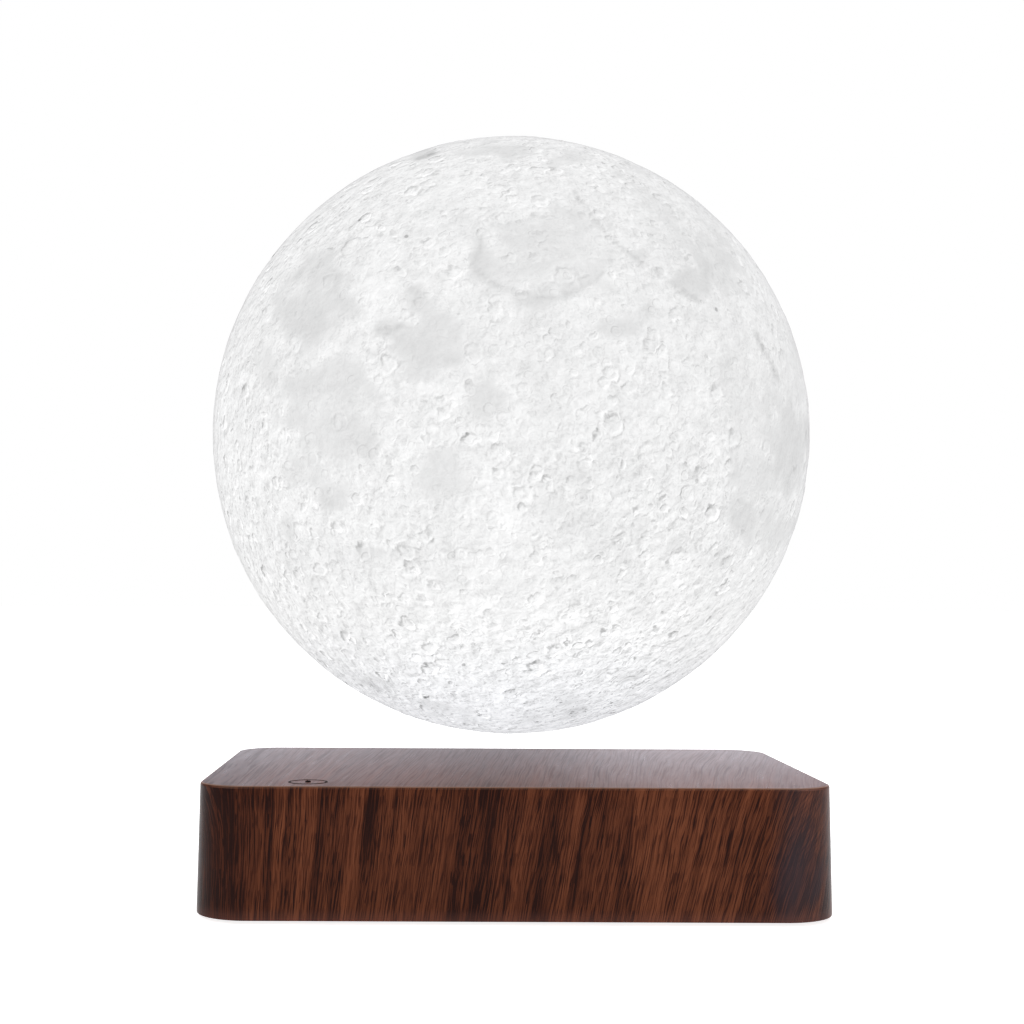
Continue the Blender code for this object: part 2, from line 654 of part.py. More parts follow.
def globe_inside(floor, mats, spin, lift):
    r, h = FLOAT_MAGNET_R, FLOAT_MAGNET_H
    low = floor + GAP
    place("float_magnet", turned_mesh("float_magnet", [
        (0.0, 0.0), (r - 0.5, 0.0), (r, 0.5), (r, h - 0.5), (r - 0.5, h),
        (0.0, h)], 36), mats["nickel"], (0, 0, low), parent=lift)
    coil_low = sphere_z(GLOBE_R - GLOBE_WALL, 29.6) + 0.5
    place("receiver_coil", turned_mesh("receiver_coil", [
        (22.3, 0.0), (29.1, 0.0), (29.6, 0.5), (29.6, 1.9),
        (29.1, 2.4), (22.3, 2.4)], 28, closed=True),
        mats["copper"], (0, 0, coil_low), parent=spin)
    board = low + h + 0.4
    lead = 0.6
    wire("receiver_lead", smooth_path([
        (25.6, 0.0, coil_low + 2.4 + GAP + lead),
        (24.4, 0.0, coil_low + 4.2), (23.4, 0.0, board - 1.2),
        (21.6, 0.0, board + 1.9), (19.2, 0.0, board + 2.7),
        (16.4, 0.0, board + 1.2 + GAP + lead)], 16), lead, mats["lead"],
        parent=spin)
    place("light_board", turned_mesh("light_board", [
        (0.0, 0.0), (18.0, 0.0), (18.0, 1.2), (0.0, 1.2)], 32),
        mats["light_board"], (0, 0, board), parent=spin)
    on = board + 1.2 + GAP
    place("rectifier_chip", box_mesh("rectifier_chip", (6.0, 5.0, 1.5), 0.25),
          mats["chip"], (0, 0, on), parent=spin)
    led = box_mesh("led", (5.0, 5.0, 1.6), 0.4)
    for i in range(4):
        a = math.pi / 4 + math.pi / 2 * i
        place("led_%d" % (i + 1), led, mats["led"],
              (11.0 * math.cos(a), 11.0 * math.sin(a), on), a, parent=spin)


# --------------------------------------------------------------------- build
def main():
    clear_scene()
    mats = {
        "wood": material("wood_effect", (0.165, 0.062, 0.034), 0.38),
        "mark": material("touch_mark", (0.020, 0.014, 0.013), 0.50),
        "plate": material("black_plastic", (0.022, 0.022, 0.023), 0.55),
        "steel": material("screw_steel", (0.30, 0.30, 0.31), 0.35, 1.0),
        "rubber": material("foot_rubber", (0.018, 0.018, 0.018), 0.85),
        "board": material("circuit_board", (0.014, 0.110, 0.045), 0.45),
        "chip": material("chip_plastic", (0.018, 0.018, 0.020), 0.50),
        "capacitor": material("capacitor_sleeve", (0.035, 0.042, 0.075), 0.40),
        "ferrite": material("ferrite_grey", (0.075, 0.075, 0.078), 0.70),
        "tray": material("tray_plastic", (0.055, 0.056, 0.060), 0.55),
        "nickel": material("magnet_nickel", (0.62, 0.61, 0.59), 0.22, 1.0),
        "bobbin": material("bobbin_plastic", (0.60, 0.58, 0.52), 0.50),
        "copper": material("coil_copper", (0.72, 0.30, 0.13), 0.32, 1.0),
        "socket": material("socket_plastic", (0.016, 0.016, 0.017), 0.45),
        "lead": material("lead_sleeve", (0.42, 0.028, 0.020), 0.50),
        "spring": material("spring_steel", (0.58, 0.58, 0.58), 0.28, 1.0),
        "globe": material("moon_print", (0.86, 0.86, 0.855), 0.62),
        "cap": material("cap_print", (0.84, 0.84, 0.84), 0.60),
        "light_board": material("light_board_white", (0.78, 0.78, 0.76), 0.45),
        "led": material("led_phosphor", (0.86, 0.74, 0.34), 0.40),
    }
    base_shell(mats["wood"])
    touch_mark(mats["mark"])
    bottom_plate(mats["plate"])
    cover_screws(mats["steel"])
    rubber_feet(mats["rubber"])
    main_board(mats["board"])
    board_screws(mats["steel"])
    power_socket(mats["socket"], mats["nickel"])
    board_parts(mats)
    magnet_ring(mats["tray"], mats["nickel"])
    coils(mats["bobbin"], mats["copper"])
    sensors(mats["board"], mats["chip"])
    transmitter(mats["tray"], mats["ferrite"], mats["copper"])
    transmitter_lead(mats["lead"])
    touch_spring(mats["spring"])

    # the globe rises and sinks with the lift axis and turns with the spin axis
    lift = empty("lift_axis", (0, 0, SHELL_TOP + LEVITATION))
    spin = empty("spin_axis", (0, 0, SHELL_TOP + LEVITATION), lift)
    moon_globe(mats["globe"], spin)
    cap, floor = globe_cap(mats["cap"], spin)
    globe_inside(floor, mats, spin, lift)


main()
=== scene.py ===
"""Looks of the levitating globe lamp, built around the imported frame.

Units are metres and the frame is the part's own: +Z up, front towards -Y.
Lengths inside the helpers are in millimetres unless a name says otherwise.
"""
import math

import bpy
import bmesh
import numpy as np
from mathutils import Matrix, Vector


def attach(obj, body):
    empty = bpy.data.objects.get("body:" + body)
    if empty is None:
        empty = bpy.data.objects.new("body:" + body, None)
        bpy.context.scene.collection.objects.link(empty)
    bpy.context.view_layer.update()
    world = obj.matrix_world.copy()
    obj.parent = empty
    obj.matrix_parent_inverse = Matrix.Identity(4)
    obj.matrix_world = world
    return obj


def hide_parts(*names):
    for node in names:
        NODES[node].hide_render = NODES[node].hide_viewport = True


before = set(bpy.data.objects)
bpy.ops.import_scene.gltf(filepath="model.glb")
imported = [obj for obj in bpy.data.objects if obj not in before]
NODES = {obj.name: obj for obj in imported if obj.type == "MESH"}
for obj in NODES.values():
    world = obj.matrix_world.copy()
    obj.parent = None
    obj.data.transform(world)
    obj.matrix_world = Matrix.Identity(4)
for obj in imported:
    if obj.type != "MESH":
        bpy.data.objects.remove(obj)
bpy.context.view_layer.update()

MM = 0.001
IMAGE = 1024

# ------------------------------------------------------------- key dimensions
BASE_W, BASE_D, BASE_R = 173.0, 116.0, 13.4
FOOT_R_CORNER, DRAFT = 15.0, 0.7
SHELL_LOW, SHELL_TOP = 1.0, 36.6
WALL, TOP_BEVEL, FOOT_BEVEL = 3.0, 0.7, 0.4
TOUCH = (-56.8, -47.0)
TOUCH_R, TOUCH_LINE, TOUCH_DOT, TOUCH_DEPTH = 5.4, 0.6, 0.8, 0.8
RING_PROUD, DOT_PROUD = 0.1, 0.4
GLOBE_R, GLOBE_Z, GLOBE_WALL, GLOBE_HOLE = 90.0, 136.2, 1.5, 32.0
BOSS = (74.0, 45.5)
FOOT = (62.0, 38.0)

# --------------------------------------------------------------------- camera
EYE = np.array([-21.4466, -508.3683, 87.4400])
YAW, PITCH, ROLL = -0.0068, -0.0507, 0.0054
FOCAL_PX, AXIS_PX = 1671.65, 450.0

_right = np.array([math.cos(YAW), math.sin(YAW), 0.0])
AHEAD = np.array([-math.sin(YAW) * math.cos(PITCH),
                  math.cos(YAW) * math.cos(PITCH), -math.sin(PITCH)])
_up = np.cross(_right, AHEAD)
RIGHT = math.cos(ROLL) * _right + math.sin(ROLL) * _up
UP = -math.sin(ROLL) * _right + math.cos(ROLL) * _up


def make_camera():
    data = bpy.data.cameras.new("camera")
    ob = bpy.data.objects.new("camera", data)
    bpy.context.scene.collection.objects.link(ob)
    turn = Matrix((RIGHT, UP, -AHEAD)).transposed().to_4x4()
    ob.matrix_world = Matrix.Translation(Vector(EYE) * MM) @ turn
    data.sensor_width = 36.0
    data.lens = FOCAL_PX * 36.0 / IMAGE
    data.shift_x = (IMAGE / 2 - AXIS_PX) / IMAGE
    data.clip_start, data.clip_end = 0.01, 50.0
    bpy.context.scene.camera = ob
    return ob


def seen_at(points):
    """Picture place of points in millimetres, (n, 2)."""
    d = points - EYE
    depth = d @ AHEAD
    return np.stack([AXIS_PX + FOCAL_PX * (d @ RIGHT) / depth,
                     IMAGE / 2 - FOCAL_PX * (d @ UP) / depth], 1)


def on_globe(x, y):
    """Unit vector from the globe's middle to its surface behind a picture place."""
    ray = AHEAD + RIGHT * (x - AXIS_PX) / FOCAL_PX + UP * (IMAGE / 2 - y) / FOCAL_PX
    ray /= np.linalg.norm(ray)
    out = EYE - np.array([0, 0, GLOBE_Z])
    b = out @ ray
    c = out @ out - GLOBE_R ** 2
    t = -b - math.sqrt(max(b * b - c, 0.0))
    p = out + t * ray
    return p / np.linalg.norm(p)


def disc_middle():
    """Middle of the globe's outline in the picture."""
    back = EYE - np.array([0, 0, GLOBE_Z])
    far = np.linalg.norm(back)
    axis = back / far
    side = np.cross(axis, [0, 0, 1.0])
    side /= np.linalg.norm(side)
    rise = np.cross(side, axis)
    a = np.linspace(0, 2 * math.pi, 720, endpoint=False)
    c = GLOBE_R / far
    rim = (axis * c + math.sqrt(1 - c * c) * (np.cos(a)[:, None] * side
                                              + np.sin(a)[:, None] * rise))
    at = seen_at(rim * GLOBE_R + np.array([0, 0, GLOBE_Z]))
    return (at.min(0) + at.max(0)) / 2


# The outlines of the seas and pits below were read off at a globe that stood a
# few picture points further left, so they are moved over by that much.
SHIFT_X, SHIFT_Y = disc_middle() - (507.2, 434.8)


# ------------------------------------------------------------- mesh utilities
def add_object(name, mesh, material, body, replaces=()):
    ob = bpy.data.objects.new(name, mesh)
    bpy.context.scene.collection.objects.link(ob)
    mesh.materials.clear()
    mesh.materials.append(material)
    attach(ob, body)
    if replaces:
        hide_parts(*replaces)
    return ob


def mesh_from(bm, name, smooth=32.0):
    """Millimetre bmesh to a smooth-shaded mesh in metres with crisp edges."""
    bmesh.ops.recalc_face_normals(bm, faces=bm.faces)
    bmesh.ops.scale(bm, vec=(MM, MM, MM), verts=bm.verts)
    mesh = bpy.data.meshes.new(name)
    bm.to_mesh(mesh)
    bm.free()
    mesh.shade_smooth()
    if smooth:
        mesh.set_sharp_from_angle(angle=math.radians(smooth))
    return mesh


def circle(r, z, sides, at=(0.0, 0.0)):
    if r < 1e-6:
        return [(at[0], at[1], z)]
    return [(at[0] + r * math.cos(2 * math.pi * i / sides),
             at[1] + r * math.sin(2 * math.pi * i / sides), z)
            for i in range(sides)]


def skin(bm, rings, cap_first=True, cap_last=True, closed=False):
    loops = [[bm.verts.new(p) for p in ring] for ring in rings]
    if closed:
        loops.append(loops[0])
    for low, high in zip(loops, loops[1:]):
        n = max(len(low), len(high))
        for i in range(n):
            j = (i + 1) % n
            if len(low) == 1:
                bm.faces.new((low[0], high[j], high[i]))
            elif len(high) == 1:
                bm.faces.new((low[i], low[j], high[0]))
            else:
                bm.faces.new((low[i], low[j], high[j], high[i]))
    if not closed:
        if cap_first and len(loops[0]) > 2:
            bm.faces.new(loops[0])
        if cap_last and len(loops[-1]) > 2:
            bm.faces.new(loops[-1])
    return loops


def turned(bm, profile, sides, at=(0.0, 0.0), closed=False):
    skin(bm, [circle(r, z, sides, at) for r, z in profile], closed=closed)


def rounded_profile(points, radius, steps=4, closed=False):
    """Profile of (r, z) points with each inner corner turned into a small arc."""
    out = []
    n = len(points)
    for i, p in enumerate(points):
        if not closed and i in (0, n - 1):
            out.append(p)
            continue
        a = np.array(points[i - 1], float)
        b = np.array(p, float)
        c = np.array(points[(i + 1) % n], float)
        u, v = a - b, c - b
        lu, lv = np.linalg.norm(u), np.linalg.norm(v)
        u, v = u / lu, v / lv
        half = math.acos(max(-1.0, min(1.0, float(u @ v)))) / 2
        if half > math.radians(84):
            out.append(p)
            continue
        reach = min(radius / math.tan(half), 0.45 * lu, 0.45 * lv)
        real = reach * math.tan(half)
        mid = b + (u + v) / np.linalg.norm(u + v) * real / math.sin(half)
        first, last = b + u * reach, b + v * reach
        a0 = math.atan2(*(first - mid)[::-1])
        a1 = math.atan2(*(last - mid)[::-1])
        sweep = (a1 - a0 + math.pi) % (2 * math.pi) - math.pi
        for k in range(steps + 1):
            t = a0 + sweep * k / steps
            out.append((float(mid[0] + real * math.cos(t)),
                        float(mid[1] + real * math.sin(t))))
    return out


def settle(ob):
    """Turn an object's modifiers into its mesh and drop its cutters."""
    tools = [m.object for m in ob.modifiers if m.type == 'BOOLEAN']
    state = bpy.context.evaluated_depsgraph_get()
    mesh = bpy.data.meshes.new_from_object(ob.evaluated_get(state))
    ob.modifiers.clear()
    old = ob.data
    ob.data = mesh
    mesh.name = ob.name
    bpy.data.meshes.remove(old)
    for tool in tools:
        bpy.data.objects.remove(tool, do_unlink=True)
    return mesh


def loose(name, mesh):
    ob = bpy.data.objects.new(name, mesh)
    bpy.context.scene.collection.objects.link(ob)
    return ob


def combine(target, tool, operation):
    mod = target.modifiers.new(operation + tool.name, 'BOOLEAN')
    mod.operation = operation
    mod.solver = 'EXACT'
    mod.object = tool


# ---------------------------------------------------------------- node helper
class Shade:
    """A Principled material that is put together with short calls."""

    def __init__(self, name, colour=(0.5, 0.5, 0.5), roughness=0.5, metallic=0.0,
                 specular=0.5):
        self.mat = bpy.data.materials.new(name)
        self.mat.use_nodes = True
        self.tree = self.mat.node_tree
        self.tree.nodes.clear()
        out = self.node("ShaderNodeOutputMaterial")
        self.bsdf = self.node("ShaderNodeBsdfPrincipled")
        self.tree.links.new(self.bsdf.outputs[0], out.inputs["Surface"])
        self.set("Base Color", (*colour, 1.0))
        self.set("Roughness", roughness)
        self.set("Metallic", metallic)
        self.set("Specular IOR Level", specular)
        self._coord = None

    def node(self, kind, **settings):
        made = self.tree.nodes.new(kind)
        for key, value in settings.items():
            setattr(made, key, value)
        return made

    def put(self, socket, value):
        if isinstance(value, bpy.types.NodeSocket):
            self.tree.links.new(value, socket)
        elif (isinstance(value, (tuple, list)) and len(value) == 3
              and socket.type == 'RGBA'):
            socket.default_value = (*value, 1.0)
        else:
            socket.default_value = value

    def set(self, name, value):
        self.put(self.bsdf.inputs[name], value)

    def coord(self, which="Object"):
        if self._coord is None:
            self._coord = self.node("ShaderNodeTexCoord")
        return self._coord.outputs[which]

    def uv(self, name):
        return self.node("ShaderNodeUVMap", uv_map=name).outputs[0]

    def attribute(self, name, what="Vector"):
        return self.node("ShaderNodeAttribute",
                         attribute_name=name).outputs[what]

    def math(self, op, *values, clamp=False):
        made = self.node("ShaderNodeMath", operation=op, use_clamp=clamp)
        for socket, value in zip(made.inputs, values):
            self.put(socket, value)
        return made.outputs[0]

    def add(self, *values):
        total = values[0]
        for value in values[1:]:
            total = self.math('ADD', total, value)
        return total

    def mul(self, *values):
        total = values[0]
        for value in values[1:]:
            total = self.math('MULTIPLY', total, value)
        return total

    def vector(self, op, *values, scale=None):
        made = self.node("ShaderNodeVectorMath", operation=op)
        for socket, value in zip(made.inputs, values):
            self.put(socket, value)
        if scale is not None:
            self.put(made.inputs["Scale"], scale)
        scalar = op in ("DOT_PRODUCT", "LENGTH", "DISTANCE")
        return made.outputs["Value" if scalar else "Vector"]

    def split(self, vec):
        made = self.node("ShaderNodeSeparateXYZ")
        self.put(made.inputs[0], vec)
        return made.outputs

    def join(self, x, y, z=0.0):
        made = self.node("ShaderNodeCombineXYZ")
        for socket, value in zip(made.inputs, (x, y, z)):
            self.put(socket, value)
        return made.outputs[0]

    def step(self, value, low, high, a=0.0, b=1.0, smooth=True):
        made = self.node("ShaderNodeMapRange",
                         interpolation_type='SMOOTHSTEP' if smooth else 'LINEAR')
        for socket, v in zip(made.inputs, (value, low, high, a, b)):
            self.put(socket, v)
        return made.outputs[0]

    def noise(self, vec, scale, detail=2.0, rough=0.5, distortion=0.0):
        made = self.node("ShaderNodeTexNoise", noise_dimensions='3D')
        self.put(made.inputs["Vector"], vec)
        for key, value in (("Scale", scale), ("Detail", detail),
                           ("Roughness", rough), ("Distortion", distortion)):
            self.put(made.inputs[key], value)
        return made.outputs[0]

    def voronoi(self, vec, scale, feature='F1', randomness=1.0):
        made = self.node("ShaderNodeTexVoronoi", voronoi_dimensions='3D',
                         feature=feature)
        self.put(made.inputs["Vector"], vec)
        self.put(made.inputs["Scale"], scale)
        self.put(made.inputs["Randomness"], randomness)
        return made.outputs

    def ramp(self, fac, stops, interpolation='LINEAR'):
        made = self.node("ShaderNodeValToRGB")
        line = made.color_ramp
        line.interpolation = interpolation
        while len(line.elements) < len(stops):
            line.elements.new(0.5)
        for element, (at, value) in zip(line.elements, stops):
            element.position = at
            element.color = ((*value, 1.0) if isinstance(value, (tuple, list))
                             else (value, value, value, 1.0))
        self.put(made.inputs[0], fac)
        return made.outputs[0]

    def mix(self, fac, a, b, blend='MIX'):
        made = self.node("ShaderNodeMix", data_type='RGBA', blend_type=blend,
                         clamp_factor=True)
        self.put(made.inputs[0], fac)
        self.put(made.inputs[6], a)
        self.put(made.inputs[7], b)
        return made.outputs[2]

    def tint(self, colour, amount):
        """A colour multiplied by a number."""
        return self.vector('SCALE', colour, scale=amount)

    def bump(self, height, distance, strength=1.0, normal=None):
        made = self.node("ShaderNodeBump")
        self.put(made.inputs["Strength"], strength)
        self.put(made.inputs["Distance"], distance)
        self.put(made.inputs["Height"], height)
        if normal is not None:
            self.put(made.inputs["Normal"], normal)
        return made.outputs[0]


# ------------------------------------------------------------- lunar surface
# Seas: picture place, half width, half height, turn in degrees, depth of tone
# (1 is the darkest), softness of the shore.
SEAS = [
    # oval sea at the upper left, in two lobes
    (322, 280, 21, 24, 0, 0.75, 0.35), (299, 315, 22, 20, 20, 0.95, 0.35),
    (308, 300, 32, 38, -25, 0.45, 0.3), (340, 300, 12, 12, 0, 0.45, 0.5),
    # the irregular one beside it
    (414, 302, 12, 20, 0, 0.85, 0.4), (385, 328, 18, 9, 8, 1.0, 0.4),
    (424, 340, 32, 26, 10, 0.80, 0.3), (404, 352, 24, 18, 0, 0.65, 0.4),
    (415, 369, 20, 11, -5, 0.60, 0.5), (470, 340, 22, 24, 0, 0.30, 0.6),
    # large round basin at the top, paler inside, dark along its shore
    (547, 252, 57, 47, 0, 0.36, 0.22), (477, 250, 8, 26, 8, 0.62, 0.6),
    (480, 262, 11, 13, 0, 0.4, 0.5), (568, 224, 26, 16, -20, 0.14, 0.6),
    (505, 287, 16, 5, -12, 0.40, 0.7), (536, 294, 24, 5, -2, 0.42, 0.7),
    (577, 283, 22, 8, 22, 0.45, 0.7), (594, 272, 10, 9, 30, 0.30, 0.7),
    (457, 212, 15, 11, 0, 0.32, 0.6), (523, 318, 15, 18, 0, 0.22, 0.7),
    # right of the basin
    (633, 249, 9, 7, 0, 0.55, 0.6), (613, 327, 16, 10, 5, 0.78, 0.45),
    (641, 317, 18, 12, 20, 0.50, 0.45), (688, 278, 17, 15, -35, 0.95, 0.4),
    (690, 292, 14, 10, 0, 0.5, 0.5), (716, 262, 30, 22, -50, 0.50, 0.5),
    (688, 322, 9, 8, 0, 0.38, 0.6), (672, 236, 36, 12, -38, 0.36, 0.6),
    (640, 196, 34, 14, -28, 0.22, 0.7), (712, 216, 24, 12, -45, 0.28, 0.7),
    # middle
    (485, 405, 15, 21, -12, 0.72, 0.45), (488, 390, 14, 12, 0, 0.30, 0.6),
    (531, 372, 22, 16, 0, 0.22, 0.7), (520, 398, 14, 5, 0, 0.30, 0.7),
    # broad pale sea at the left with darker bays
    (330, 404, 58, 50, 0, 0.42, 0.35), (322, 382, 26, 12, 0, 0.34, 0.6),
    (293, 420, 10, 9, 0, 0.48, 0.6), (333, 421, 13, 10, 0, 0.32, 0.6),
    (385, 418, 8, 7, 0, 0.30, 0.7), (364, 449, 13, 12, -30, 0.62, 0.5),
    (327, 450, 40, 22, 0, 0.36, 0.5), (306, 476, 20, 16, 0, 0.42, 0.5),
    (334, 497, 14, 15, -30, 0.74, 0.45), (260, 362, 10, 20, 10, 0.52, 0.6),
    (236, 392, 13, 7, 0, 0.38, 0.7), (284, 390, 22, 12, 0, 0.30, 0.7),
    (352, 342, 9, 7, 0, 0.30, 0.7), (285, 470, 10, 22, 10, 0.26, 0.7),
    (434, 473, 23, 25, 0, 0.50, 0.4), (436, 462, 13, 10, 0, 0.20, 0.6),
    (420, 486, 16, 14, 0, 0.20, 0.6),
    # right limb
    (784, 436, 20, 42, 4, 0.92, 0.45), (758, 474, 24, 22, -20, 0.66, 0.5),
    (741, 522, 20, 21, 15, 0.95, 0.45), (768, 528, 24, 20, 20, 0.55, 0.5),
    (745, 420, 26, 54, 8, 0.36, 0.6), (784, 372, 20, 40, -14, 0.34, 0.6),
    (715, 374, 11, 13, 0, 0.34, 0.6), (673, 386, 18, 13, 0, 0.18, 0.7),
    (722, 566, 16, 9, 25, 0.30, 0.7),
    # top limb
    (492, 152, 34, 8, 2, 0.85, 0.5), (560, 156, 30, 7, 8, 0.55, 0.6),
    (420, 155, 17, 7, -8, 0.75, 0.6), (620, 168, 28, 10, 18, 0.40, 0.6),
    # rougher, slightly darker ground in the lower half
    (378, 557, 28, 8, 0, 0.40, 0.7), (570, 478, 20, 14, 0, 0.32, 0.7),
    (600, 528, 26, 18, 0, 0.26, 0.8), (550, 514, 15, 16, 0, 0.34, 0.7),
    (530, 528, 9, 7, 0, 0.40, 0.7), (283, 528, 8, 12, 0, 0.45, 0.7),
    (288, 558, 9, 16, -20, 0.36, 0.7), (306, 586, 8, 11, -20, 0.40, 0.7),
    (448, 558, 7, 10, 0, 0.42, 0.7), (622, 560, 7, 7, 0, 0.42, 0.7),
    (568, 578, 7, 6, 0, 0.36, 0.7), (455, 583, 9, 6, 0, 0.30, 0.7),
    (488, 588, 10, 4, 0, 0.34, 0.8), (637, 532, 9, 16, 30, 0.36, 0.7),
    (668, 553, 14, 5, 35, 0.45, 0.7), (430, 711, 14, 7, -15, 0.62, 0.6),
    (458, 718, 9, 7, 0, 0.45, 0.7), (527, 718, 9, 7, 0, 0.52, 0.7),
    (556, 706, 14, 10, 10, 0.55, 0.7), (570, 713, 14, 7, 10, 0.42, 0.7),
    (366, 686, 14, 6, -35, 0.40, 0.7), (620, 684, 12, 6, 32, 0.48, 0.7),
    (636, 610, 9, 8, 0, 0.36, 0.7), (590, 620, 8, 7, 0, 0.36, 0.7),
]

# Bright ground and rays, in the same form.
HIGHS = [
    (500, 531, 15, 9, -25, 0.95, 0.7), (497, 533, 42, 34, 0, 0.42, 0.7),
    (482, 486, 12, 34, 20, 0.42, 0.7), (520, 508, 34, 6, 42, 0.34, 0.7),
    (465, 505, 30, 12, -25, 0.40, 0.7), (500, 570, 30, 34, 0, 0.30, 0.8),
    (466, 611, 34, 24, -15, 0.46, 0.7), (494, 602, 46, 5, -7, 0.55, 0.6),
    (532, 606, 22, 4, -14, 0.50, 0.7), (424, 636, 24, 8, -6, 0.40, 0.7),
    (641, 362, 30, 18, 0, 0.60, 0.6), (664, 338, 16, 12, 0, 0.62, 0.6),
    (648, 418, 16, 12, 0, 0.40, 0.7), (685, 441, 14, 12, 0, 0.85, 0.3),
    (674, 573, 13, 11, 0, 1.00, 0.5), (650, 575, 11, 12, 0, 0.50, 0.6),
    (537, 612, 14, 9, -15, 0.85, 0.5), (568, 617, 12, 7, 0, 0.75, 0.5),
    (613, 612, 11, 8, 0, 0.85, 0.5), (597, 593, 13, 6, -30, 0.50, 0.6),
    (668, 606, 20, 10, 35, 0.60, 0.6), (678, 622, 16, 12, 30, 0.62, 0.6),
    (632, 641, 20, 12, 10, 0.52, 0.6), (373, 288, 26, 9, 0, 0.80, 0.6),
    (338, 340, 46, 7, 38, 0.50, 0.5), (385, 305, 20, 7, 25, 0.45, 0.5),
    (378, 240, 18, 6, -45, 0.52, 0.6), (363, 270, 8, 22, -20, 0.50, 0.7),
    (424, 248, 14, 13, 0, 0.52, 0.7), (452, 272, 10, 30, 0, 0.50, 0.7),
    (521, 203, 34, 6, 20, 0.62, 0.6), (578, 176, 26, 18, 0, 0.55, 0.6),
    (410, 192, 40, 12, 12, 0.34, 0.7), (474, 188, 34, 9, 0, 0.42, 0.7),
    (374, 374, 8, 18, 35, 0.60, 0.6), (219, 428, 10, 30, 5, 0.52, 0.6),
    (240, 500, 26, 46, -10, 0.28, 0.8), (280, 439, 8, 9, 0, 0.62, 0.5),
    (430, 402, 36, 18, 8, 0.42, 0.7), (490, 452, 40, 28, 0, 0.30, 0.8),
    (296, 533, 10, 11, 0, 0.55, 0.5), (707, 512, 9, 42, 0, 0.38, 0.7),
    (560, 340, 34, 34, 0, 0.18, 0.8), (566, 430, 42, 24, 30, 0.22, 0.8),
    (718, 430, 14, 34, 0, 0.30, 0.8), (345, 566, 12, 12, 0, 0.34, 0.7),
    (270, 615, 26, 26, 0, 0.30, 0.8), (560, 664, 34, 10, 15, 0.28, 0.8),
    (455, 698, 26, 14, 0, 0.24, 0.8), (598, 694, 18, 7, 20, 0.40, 0.7),
    (655, 685, 30, 14, 35, 0.34, 0.8), (745, 330, 12, 22, -18, 0.26, 0.7),
    (612, 200, 10, 28, 10, 0.30, 0.7),
]

